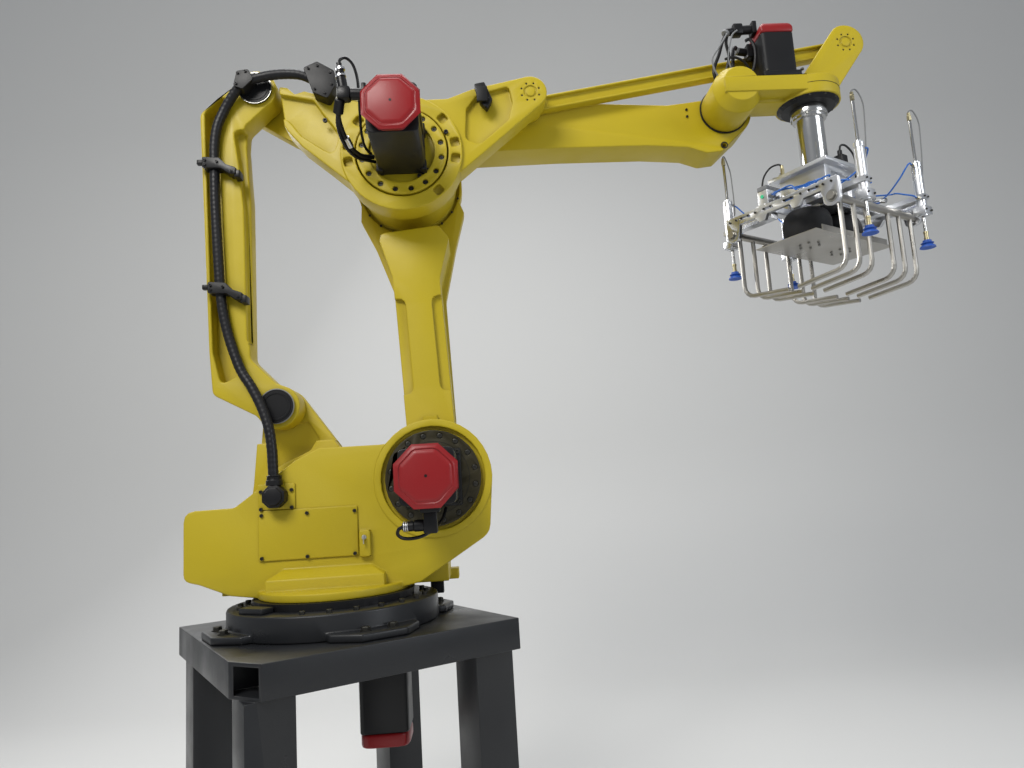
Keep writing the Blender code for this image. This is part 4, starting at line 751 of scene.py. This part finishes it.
lug = bmesh.new()
slab(lug, [on_arm(up, aside, 0.0).xz for up, aside in ((0.211, -0.028), (0.236, -0.024),
    (0.236, 0.028), (0.211, 0.032))], HOME.y + ARM_NEAR - 0.012, HOME.y + ARM_NEAR + 0.004)
shown("arm_lug", lug, body["lower_arm"], YELLOW)
arm_screws = bmesh.new()
for degrees in (196, 214, 232, 248, 292, 308, 326, 344):
    turn = math.radians(degrees)
    cap_screw(arm_screws, at(ELBOW, 0.206 * math.cos(turn), 0.2595, 0.206 * math.sin(turn)), NEAR,
        0.005)
for place in circle_of(ELBOW, 0.155, 12, ARM_FAR, 15.0) + circle_of(SHOULDER, 0.15, 12, ARM_FAR,
        15.0):
    hex_bolt(arm_screws, place, AWAY, 0.01)
shown("arm_screws", arm_screws, body["lower_arm"], DARK_BOLT)
caps = bmesh.new()
for joint in (ELBOW, SHOULDER):
    lathe(caps, at(joint, 0.0, ARM_FAR, 0.0), AWAY,
        solid((0.118, 0.0), (0.118, 0.006), (0.112, 0.01), (0.06, 0.01), (0.056, 0.007)), 48)
shown("arm_far_caps", caps, body["lower_arm"], YELLOW)

# %% [markdown]
# ## Upper arm and wrist
#
# A black seal stands between the arm and the wrist's drum. Bolts ring the pivots and the flange.

# %%
seal = bmesh.new()
lathe(seal, at(WRIST, 0.0, 0.0925, 0.0), AWAY,
    solid((0.0985, 0.0), (0.1005, 0.002), (0.1005, 0.0055), (0.0985, 0.0072)), 64)
shown("wrist_drum_seal", seal, body["wrist"], BLACK)

arm_parts = bmesh.new()
for dx, dz in ((-0.155, -0.02), (-0.155, 0.01)):
    cap_screw(arm_parts, at(WRIST, dx, UPPER_NEAR - SINK, dz), NEAR, 0.005)
for place in circle_of(WRIST, 0.072, 8, UPPER_FAR, 22.5):
    hex_bolt(arm_parts, place, AWAY, 0.0085)
for step in range(5):
    for dz in (-0.07, 0.06):
        cap_screw(arm_parts, at(WRIST, -0.34 - step * 0.13, UPPER_FAR, dz - 0.03), AWAY, 0.006)
shown("upper_arm_screws", arm_parts, body["upper_arm"], DARK_BOLT)
arm_cover = bmesh.new()
slab(arm_cover, [at(WRIST, dx, 0.0, dz).xz for dx, dz in ((-0.9, -0.118), (-0.3, -0.118),
    (-0.3, 0.047), (-0.9, 0.047))], HOME.y + UPPER_FAR, HOME.y + UPPER_FAR + 0.0043)
shown("upper_arm_cover", arm_cover, body["upper_arm"], YELLOW)
drum_cap = bmesh.new()
lathe(drum_cap, at(WRIST, 0.0, UPPER_FAR, 0.0), AWAY,
    solid((0.06, 0.0), (0.06, 0.01), (0.054, 0.014)), 40)
shown("wrist_far_cap", drum_cap, body["upper_arm"], YELLOW)

trim = bmesh.new()
seam_z = WRIST.z - 0.01
lathe(trim, Vector((TOOL.x, HOME.y, seam_z)), UP, ring(0.1225, 0.1246, 0.0018), 72)
shown("housing_seam", trim, body["wrist"], BLACK)

screws("mast_flange_bolts", level_circle(0.0625, WRIST.z - 0.0505 - 0.0146 - 0.034, 8, 15), DOWN,
    0.0062, body["tool_mast"], ZINC)
screws("housing_bolts", level_circle(0.11, WRIST.z - 0.0502, 12, 10), DOWN, 0.0058, body["wrist"],
    DARK_BOLT)
screws("ear_bolts", circle_of(EAR, 0.036, 8, 0.0142, 22.5), NEAR, 0.0036, body["wrist"], DARK_BOLT,
    0.004)
screws("front_pivot_bolts", circle_of(FRONT, 0.036, 8, -0.0542, 22.5), NEAR, 0.0036,
    body["bell_crank"], DARK_BOLT, 0.004)

# %% [markdown]
# ## Wrist motor's leads
#
# Two round connectors stand off the motor's left face. Their leads, black and grey, fall in loops
# to the top of the arm.

# %%
leads = bmesh.new()
brick(leads, spot(1.706, -0.064, 3.226), spot(1.724, -0.018, 3.276), 0.003)
rod(leads, spot(1.712, -0.04, 3.252), spot(1.668, -0.04, 3.25), 0.0175, 20, 0.002)
brick(leads, spot(1.63, -0.062, 3.226), spot(1.67, -0.02, 3.27), 0.007)
rod(leads, spot(1.634, -0.042, 3.246), spot(1.606, -0.046, 3.238), 0.015, 18, 0.002)
brick(leads, spot(1.694, -0.02, 3.15), spot(1.724, 0.024, 3.206), 0.004)
rod(leads, spot(1.698, 0.002, 3.18), spot(1.662, 0.0, 3.184), 0.015, 18, 0.002)
cable(leads, spots((1.608, -0.046, 3.239), (1.594, -0.048, 3.216), (1.579, -0.05, 3.184),
    (1.564, -0.05, 3.141), (1.548, -0.048, 3.106), (1.538, -0.046, 3.072), (1.548, -0.042, 3.036),
    (1.566, -0.036, 3.018), (1.59, -0.026, 3.008)), 0.0068)
cable(leads, spots((1.612, -0.04, 3.234), (1.604, -0.036, 3.2), (1.612, -0.03, 3.15),
    (1.602, -0.028, 3.1), (1.584, -0.026, 3.056), (1.588, -0.02, 3.02), (1.598, -0.016, 3.004)),
    0.0062)
cable(leads, spots((1.664, 0.0, 3.184), (1.65, -0.01, 3.196), (1.634, -0.024, 3.176),
    (1.624, -0.036, 3.128), (1.618, -0.04, 3.078), (1.624, -0.036, 3.034), (1.63, -0.026, 3.008)),
    0.0072)
cable(leads, spots((1.676, -0.052, 3.196), (1.692, -0.056, 3.2), (1.706, -0.06, 3.168),
    (1.706, -0.06, 3.118), (1.694, -0.054, 3.07), (1.668, -0.046, 3.04), (1.64, -0.036, 3.024),
    (1.61, -0.02, 3.01)), 0.0062)
cable(leads, spots((1.582, -0.064, 3.114), (1.615, -0.06, 3.124), (1.651, -0.056, 3.112),
    (1.68, -0.046, 3.084), (1.694, -0.034, 3.046), (1.7, -0.024, 3.016)), 0.005)
brick(leads, spot(1.618, -0.086, 3.0125), spot(1.672, -0.03, 3.044), 0.005)
brick(leads, spot(1.56, -0.02, 3.0125), spot(1.606, 0.03, 3.04), 0.005)
shown("wrist_leads", leads, body["wrist"], BLACK)
bright = bmesh.new()
cable(bright, spots((1.6, -0.066, 3.222), (1.58, -0.07, 3.19), (1.552, -0.072, 3.15),
    (1.53, -0.07, 3.116), (1.532, -0.066, 3.08), (1.546, -0.06, 3.05), (1.566, -0.05, 3.026),
    (1.586, -0.04, 3.012)), 0.0034)
cable(bright, spots((1.64, -0.07, 3.232), (1.616, -0.076, 3.208), (1.6, -0.078, 3.16),
    (1.59, -0.076, 3.11), (1.602, -0.07, 3.062), (1.626, -0.06, 3.044)), 0.003)
for low, high in ((spot(1.668, -0.04, 3.25), spot(1.66, -0.04, 3.2497)),
        (spot(1.606, -0.046, 3.238), spot(1.598, -0.047, 3.23)),
        (spot(1.662, 0.0, 3.184), spot(1.654, -0.002, 3.186))):
    rod(bright, low, high, 0.0158, 18, 0.001)
shown("wrist_bright_leads", bright, body["wrist"], GREY)
screws("wrist_motor_bolts", [spot(x, y, WRIST.z + 0.0508) for x in (1.728, 1.866)
    for y in (-0.102, 0.02)], UP, 0.0065, body["wrist"], DARK_BOLT)
panels = bmesh.new()
brick(panels, spot(1.8515, -0.078, 3.09), spot(1.853, 0.01, 3.18), 0.0004)
shown("wrist_motor_panel", panels, body["wrist"], RUBBER)

# %% [markdown]
# ## Grommet of the hole under the arm

# %%
grommet = bmesh.new()
lathe(grommet, Vector((HOLE.x, HOME.y + 0.099, HOLE.z)), NEAR, ring(0.0105, 0.0145, 0.003), 24)
shown("arm_grommet", grommet, body["upper_arm"], RUBBER)

# %% [markdown]
# ## Bag gripper
#
# Air springs, suction cups and cylinder rods get round forms. The valve block, fittings, blue air
# lines and rail screws make it a working tool.

# %%
FRAME_LOW = -0.164
RAIL = -0.217
SPRING_HIGH, SPRING_LOW = -0.1703, -0.2997
CUP_FOOT = -0.357
CYLINDER_LOW, CYLINDER_HIGH = FRAME_LOW - 0.081, FRAME_LOW + 0.124
LOWER_PORT = FRAME_LOW - 0.014
VALVE_LOW = FRAME_LOW + 0.0263
VALVES = [-0.226 + number * 0.0225 for number in range(4)]
RAIL_U = 0.262
CUPS = {1: (-0.188, 0.288), 2: (-0.188, -0.288), 3: (0.188, -0.288), 4: (0.188, 0.288)}
ROD_TOPS = {1: 0.478, 2: 0.478, 3: 0.492, 4: 0.478}

for label, u in (("near", -0.1), ("far", 0.1)):
    bag = bmesh.new()
    middle, bulge = (SPRING_HIGH + SPRING_LOW) / 2, (SPRING_HIGH - SPRING_LOW) / 2
    profile = [(0.0, -bulge)]
    for step in range(-12, 13):
        angle = math.radians(90 * step / 12)
        profile.append((0.056 + 0.034 * math.cos(angle), bulge * math.sin(angle)))
    profile.append((0.0, bulge))
    lathe(bag, on_tool(u, 0.0, middle), UP, profile, 56)
    piece = shown("air_spring_%s_round" % label, bag, body["air_spring_" + label], RUBBER, 50.0)
    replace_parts(piece, "air_spring_" + label)
    plates = bmesh.new()
    lathe(plates, on_tool(u, 0.0, SPRING_LOW + 0.0003), UP, disc(0.052, 0.004), 40)
    shown("air_spring_%s_plate" % label, plates, body["air_spring_" + label], STEEL)

for index, (u, v) in CUPS.items():
    stem, cup, fit = bmesh.new(), bmesh.new(), bmesh.new()
    foot = on_tool(u, v, CUP_FOOT)
    rise = ROD_TOPS[index]
    lathe(stem, foot, UP, solid((0.0058, 0.018), (0.0058, rise - 0.002), (0.0045, rise)), 18)
    shown("cup_rod_%d" % index, stem, body["cup_%d" % index], STEEL)
    lathe(cup, foot, UP, solid((0.012, -0.004), (0.023, -0.0085), (0.0275, -0.0098),
        (0.0262, -0.005), (0.019, 0.001), (0.0165, 0.003), (0.0215, 0.006), (0.0225, 0.0078),
        (0.019, 0.01), (0.015, 0.0118), (0.015, 0.018), (0.012, 0.0195)), 40)
    piece = shown("cup_%d_round" % index, cup, body["cup_%d" % index], BLUE, 30.0)
    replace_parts(piece, "cup_%d" % index)
    lathe(fit, foot, UP, solid((0.009, 0.0196), (0.009, 0.028), (0.0074, 0.029), (0.0074, 0.044),
        (0.009, 0.045), (0.009, 0.052)), 18)
    top = foot + UP * rise
    lathe(fit, top, UP, solid((0.0085, 0.0), (0.0085, 0.018), (0.0065, 0.02), (0.0065, 0.03)), 6)
    shown("cup_fittings_%d" % index, fit, body["cup_%d" % index], BRASS)

cylinder_parts, cylinder_dark = bmesh.new(), bmesh.new()
for index, (u, v) in CUPS.items():
    low, high = CYLINDER_LOW, CYLINDER_HIGH
    for start, end, radius in ((low - 0.002, low + 0.016, 0.0185),
            (high - 0.016, high + 0.002, 0.0185), (high + 0.002, high + 0.01, 0.0105)):
        lathe(cylinder_parts, on_tool(u, v, start), UP,
            [(0.0072, 0.0), (radius - 0.001, 0.0), (radius, 0.001), (radius, end - start - 0.001),
            (radius - 0.001, end - start), (0.0072, end - start), (0.0072, 0.0)], 28)
    for du in (-0.012, 0.012):
        for dv in (0.012, -0.012):
            rod(cylinder_parts, on_tool(u + du, v + dv, low + 0.012),
                on_tool(u + du, v + dv, high - 0.012), 0.0022, 8)
    side = 1 if v > 0 else -1
    outward = on_tool(0.0, side, 0.0) - on_tool(0.0, 0.0, 0.0)
    brick(cylinder_parts, (u - 0.026, v - 0.0225, low + 0.003),
        (u + 0.026, v + 0.0225, low + 0.034), 0.0015, on_tool)
    for du, dv, z, size in ((0.019, 0.0224, low + 0.018, 0.0038),
            (0.012, 0.0202, FRAME_LOW - 0.01, 0.0034)):
        for end in (-1, 1):
            cap_screw(cylinder_dark, on_tool(u + end * du, v + side * dv, z), outward, size)
shown("cup_cylinder_ends", cylinder_parts, body["cup_cylinder_1"], SILVER)
shown("cup_bar_screws", cylinder_dark, body["cup_cylinder_1"], DARK_BOLT)

near_way = on_tool(-1.0, 0.0, 0.0) - on_tool(0.0, 0.0, 0.0)
rail_screws, rail_rings = bmesh.new(), bmesh.new()
for side in (-1, 1):
    face = side * (RAIL_U + 0.0081)
    for v in (-0.222, -0.19, -0.166, -0.134, -0.1, -0.06, -0.03, 0.03, 0.06, 0.1, 0.134, 0.166,
            0.19, 0.222):
        cap_screw(rail_screws, on_tool(face, v, RAIL + 0.0515), near_way * -side, 0.0042)
    for v in (-0.217, 0.217):
        lathe(rail_rings, on_tool(face, v, RAIL), near_way * -side,
            [(0.0146, 0.0), (0.0225, 0.0), (0.0215, 0.0022), (0.015, 0.0022), (0.0146, 0.0)], 32)
shown("rail_screws", rail_screws, body["gripper_rail_near"], DARK_BOLT)
shown("rail_bearing_rings", rail_rings, body["gripper_rail_near"], ZINC)

plate_bolts = bmesh.new()
for u in (-0.11, 0.11):
    for v in (-0.11, 0.11):
        hex_bolt(plate_bolts, on_tool(u, v, -SINK), UP, 0.0085)
    for v in (-0.04, 0.0, 0.04):
        cap_screw(plate_bolts, on_tool(u, v, -SINK), UP, 0.005)
shown("plate_bolts", plate_bolts, body["gripper_frame"], ZINC)
collar = bmesh.new()
lathe(collar, on_tool(0.0, 0.0, SINK), UP, [(0.0525, 0.0), (0.072, 0.0), (0.072, 0.01),
    (0.07, 0.012), (0.057, 0.012), (0.056, 0.03), (0.0525, 0.031), (0.0525, 0.0)], 48)
shown("mast_foot_collar", collar, body["gripper_frame"], SILVER)

valve_parts, lamp = bmesh.new(), bmesh.new()
for u in VALVES:
    brick(valve_parts, (u - 0.01, 0.064, VALVE_LOW + 0.0602), (u + 0.01, 0.106, VALVE_LOW + 0.078),
        0.0015, on_tool)
for u in VALVES:
    for z in (VALVE_LOW + 0.014, VALVE_LOW + 0.034):
        rod(valve_parts, on_tool(u, 0.062, z), on_tool(u, 0.05, z), 0.0052, 14, 0.0006)
shown("valve_parts", valve_parts, body["valve_block"], GREY)
rod(lamp, on_tool(-0.2352, 0.085, VALVE_LOW + 0.036), on_tool(-0.24, 0.085, VALVE_LOW + 0.036),
    0.007, 20, 0.001)
shown("valve_lamp", lamp, body["valve_block"], GREEN)

# %% [markdown]
# ## Air lines and fittings of the gripper

# %%
air, fits, black_air = bmesh.new(), bmesh.new(), bmesh.new()
high = CYLINDER_HIGH
for index, (u, v) in CUPS.items():
    side_u, side_v = (1 if u > 0 else -1), (1 if v > 0 else -1)
    for z in (high - 0.008, LOWER_PORT):
        port = on_tool(u - side_u * 0.017, v, z)
        rod(fits, port, on_tool(u - side_u * 0.032, v, z), 0.0058, 6)
    cable(air, tool_run((u - side_u * 0.03, v, high - 0.008), (u - side_u * 0.056, v, high - 0.012),
        (u - side_u * 0.062, v - side_v * 0.04, high - 0.06),
        (u - side_u * 0.04, v - side_v * 0.11, high - 0.096),
        (u - side_u * 0.02, v - side_v * 0.18, high - 0.092),
        (-0.19 + 0.02 * index, 0.06 - 0.006 * index, VALVE_LOW + 0.034)), 0.003, 10)
    cable(air, tool_run((u - side_u * 0.03, v, LOWER_PORT),
        (u - side_u * 0.048, v, LOWER_PORT + 0.004),
        (u - side_u * 0.062, v - side_v * 0.024, LOWER_PORT + 0.016),
        (u - side_u * 0.06, v - side_v * 0.06, FRAME_LOW + 0.02),
        (u - side_u * 0.036, v - side_v * 0.12, FRAME_LOW + 0.04),
        (-0.205 + 0.02 * index, 0.052, VALVE_LOW + 0.014)), 0.003, 10)
for du in (-0.034, 0.0, 0.03):
    cable(air, tool_run((-0.212 + du * 0.4, 0.052, VALVE_LOW + 0.034),
        (-0.2, 0.02 + du, VALVE_LOW + 0.05), (-0.19 + du * 0.3, -0.05, VALVE_LOW + 0.03 + du * 0.3),
        (-0.17, -0.12 + du, VALVE_LOW + 0.04), (-0.12 + du, -0.12, VALVE_LOW + 0.02)), 0.0028, 10)
shown("air_lines", air, body["gripper_frame"], TUBE_BLUE)

rod(fits, on_tool(-0.112, 0.07, 0.0), on_tool(-0.112, 0.07, 0.03), 0.008, 6)
rod(fits, on_tool(-0.112, 0.07, 0.03), on_tool(-0.112, 0.07, 0.044), 0.0062, 16)
shown("air_fittings", fits, body["gripper_frame"], BRASS)
cable(black_air, tool_run((-0.112, 0.07, 0.04), (-0.118, 0.082, 0.052), (-0.136, 0.108, 0.044),
    (-0.156, 0.128, 0.006), (-0.17, 0.128, -0.05), (-0.176, 0.1, -0.074)), 0.0036)
brick(black_air, (0.046, -0.09, 0.012), (0.086, -0.052, 0.062), 0.005, on_tool)
rod(black_air, on_tool(0.066, -0.07, 0.06), on_tool(0.066, -0.07, 0.084), 0.009, 18, 0.001)
cable(black_air, tool_run((0.066, -0.07, 0.082), (0.07, -0.076, 0.104), (0.092, -0.086, 0.1),
    (0.118, -0.096, 0.06), (0.13, -0.09, 0.0), (0.128, -0.07, -0.06)), 0.004)
shown("tool_leads", black_air, body["gripper_frame"], BLACK)
for index, (u, v) in CUPS.items():
    side_v = 1 if v > 0 else -1
    line, rise = bmesh.new(), CUP_FOOT + ROD_TOPS[index] + 0.029
    route = tool_run((u, v, rise), (u + 0.002, v, rise + 0.009),
        (u + 0.02, v + side_v * 0.006, rise + 0.012), (u + 0.042, v + side_v * 0.01, rise - 0.02),
        (u + 0.05, v + side_v * 0.008, rise - 0.07), (u + 0.04, v, -0.07),
        (u + 0.022, v - side_v * 0.004, -0.096), (u + 0.012, v, -0.1))
    cable(line, route, 0.0024)
    piece = shown("cup_line_%d" % index, line, None, GREY)
    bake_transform(piece)

actuators, forks = bmesh.new(), bmesh.new()
for side in (-1, 1):
    for end in (-1, 1):
        start = on_tool(side * 0.15, end * 0.06, FRAME_LOW + 0.06)
        reach = on_tool(side * 0.15, end * 0.165, FRAME_LOW + 0.02)
        along = (reach - start).normalized()
        rod(actuators, start, start + along * 0.08, 0.015, 24, 0.0015)
        rod(forks, start + along * 0.08, reach, 0.005, 14)
        rod(forks, reach - along * 0.006, reach + along * 0.016, 0.01, 6)
        rod(actuators, start - along * 0.01, start + along * 0.001, 0.009, 18, 0.001)
shown("tine_actuators", actuators, body["gripper_frame"], SILVER)
shown("tine_actuator_rods", forks, body["gripper_frame"], STEEL)

screws("press_screws", [on_tool(u + 0.038 * math.cos(turn), 0.038 * math.sin(turn), -0.3032)
    for u in (-0.1, 0.1) for turn in (math.radians(60 * step + 30) for step in range(6))], DOWN,
    0.005, body["press_plate"], ZINC)

# %% [markdown]
# ## Stand and base
#
# Large bolts hold the base's lobes to the stand, and smaller ones ring the riser.

# %%
base_bolts = bmesh.new()
lobe_top = STAND_TOP + 0.0253
RISER_CIRCLE = 0.318
for turn in range(4):
    angle = math.pi / 2 * turn
    for u, v in ((0.385, -0.045), (0.385, 0.045)):
        place = on_stand(u * math.cos(angle) - v * math.sin(angle),
            u * math.sin(angle) + v * math.cos(angle), lobe_top)
        hex_bolt(base_bolts, place, UP, 0.015)
shown("base_bolts", base_bolts, body["base_casting"], DARK_BOLT)
ring_bolts = bmesh.new()
for step in range(24):
    turn = math.radians(15 * step + 7.5)
    place = HOME + Vector((RISER_CIRCLE * math.cos(turn), RISER_CIRCLE * math.sin(turn),
        STAND_TOP + 0.0815))
    if not -150 < math.degrees(math.atan2(math.sin(turn), math.cos(turn))) < -110:
        cap_screw(ring_bolts, place, UP, 0.0095, 0.01)
shown("riser_bolts", ring_bolts, body["base_casting"], DARK_BOLT)

pocket = bmesh.new()
STAND_CENTRE = Vector((0.018, -0.009, 0.0))
POCKET_OUT, POCKET_IN, POCKET_LOW, POCKET_HIGH = -0.436, -0.3, STAND_TOP - 0.088, STAND_TOP - 0.0125


def in_stand(u, v, z):
    return on_stand(u, v, z) + STAND_CENTRE


brick(pocket, (POCKET_IN, POCKET_OUT, POCKET_LOW), (POCKET_IN + 0.005, POCKET_IN, POCKET_HIGH), 0.0,
    in_stand)
brick(pocket, (POCKET_OUT, POCKET_IN, POCKET_LOW),
    (POCKET_IN + 0.005, POCKET_IN + 0.005, POCKET_HIGH), 0.0, in_stand)
shown("stand_corner_pocket", pocket, body["stand"], CHARCOAL)

# %% [markdown]
# ## Stage: floor, light and the photo's camera

# %%
CAMERA_PLACE = Vector((-0.3026, -2.671, 1.5))
CAMERA_AXES = ((0.99711, -0.04469, -0.06142), (0.05443, -0.14355, 0.98814),
    (-0.05298, -0.98863, -0.14071))
FOCAL_SHARE = 730 / 1024


def linked(name, data):
    thing = bpy.data.objects.new(name, data)
    bpy.context.scene.collection.objects.link(thing)
    return thing


def stage_material(name, color, roughness):
    material = bpy.data.materials.new(name)
    material.use_nodes = True
    tree = material.node_tree
    shader = put(tree.nodes["Principled BSDF"], {"Roughness": roughness})
    noise = put(tree.nodes.new("ShaderNodeTexNoise"), {"Scale": 3.0})
    ramp = tree.nodes.new("ShaderNodeMix")
    ramp.data_type = "RGBA"
    put(ramp, {6: (*color, 1.0), 7: (*[c * 0.94 for c in color], 1.0)})
    link(tree, (noise, "Fac", ramp, 0), (ramp, 2, shader, "Base Color"))
    return material


def stage_floor():
    """Pale floor that bends up into a backdrop behind the machine."""
    width, bend, depth, height = 14.0, 2.0, 5.0, 9.0
    profile = [(-9.0, 0.0), (depth - bend, 0.0)]
    for step in range(1, 17):
        angle = math.radians(90 * step / 16)
        profile.append((depth - bend + bend * math.sin(angle), bend - bend * math.cos(angle)))
    profile.append((depth, height))
    shape = bmesh.new()
    rows = [[shape.verts.new((x, y, z - 0.0005)) for y, z in profile] for x in (-width, width)]
    for i in range(len(profile) - 1):
        shape.faces.new((rows[0][i], rows[1][i], rows[1][i + 1], rows[0][i + 1]))
    mesh = bpy.data.meshes.new("stage_floor")
    shape.to_mesh(mesh)
    shape.free()
    mesh.shade_smooth()
    mesh.materials.append(stage_material("stage_paper", (0.68, 0.68, 0.67), 0.7))
    floor = linked("stage_floor", mesh)


def stage_light(name, place, target, size, power, color=(1.0, 1.0, 1.0)):
    data = bpy.data.lights.new(name, "AREA")
    data.shape = "RECTANGLE"
    data.size, data.size_y = size
    data.energy = power
    data.color = color
    light = linked(name, data)
    light.location = place
    light.rotation_mode = "QUATERNION"
    light.rotation_quaternion = (Vector(target) - Vector(place)).to_track_quat("-Z", "Y")


def stage_camera():
    data = bpy.data.cameras.new("photo_camera")
    data.sensor_width = 36.0
    data.lens = FOCAL_SHARE * data.sensor_width
    camera = linked("photo_camera", data)
    turn = Matrix(CAMERA_AXES).transposed().to_4x4()
    camera.matrix_world = Matrix.Translation(CAMERA_PLACE) @ turn
    bpy.context.scene.camera = camera


def stage_world():
    world = bpy.data.worlds.new("stage_world")
    world.use_nodes = True
    put(world.node_tree.nodes["Background"], {"Color": (0.86, 0.9, 0.96, 1.0), "Strength": 0.34})
    bpy.context.scene.world = world
    bpy.context.scene.view_settings.view_transform = "Standard"


stage_floor()
stage_light("key_light", (-2.5, -4.0, 5.6), (0.0, 0.0, 1.9), (2.6, 1.6), 255.0, (1.0, 0.98, 0.94))
stage_light("fill_light", (4.2, -3.2, 3.2), (0.3, 0.0, 1.8), (2.2, 2.2), 75.0, (0.92, 0.96, 1.0))
stage_light("top_light", (0.0, 0.6, 6.2), (0.0, 0.0, 1.5), (3.2, 2.2), 120.0)
stage_light("rim_light", (-3.4, 2.8, 4.2), (-0.2, 0.0, 2.2), (1.4, 2.0), 90.0)
stage_camera()
stage_world()
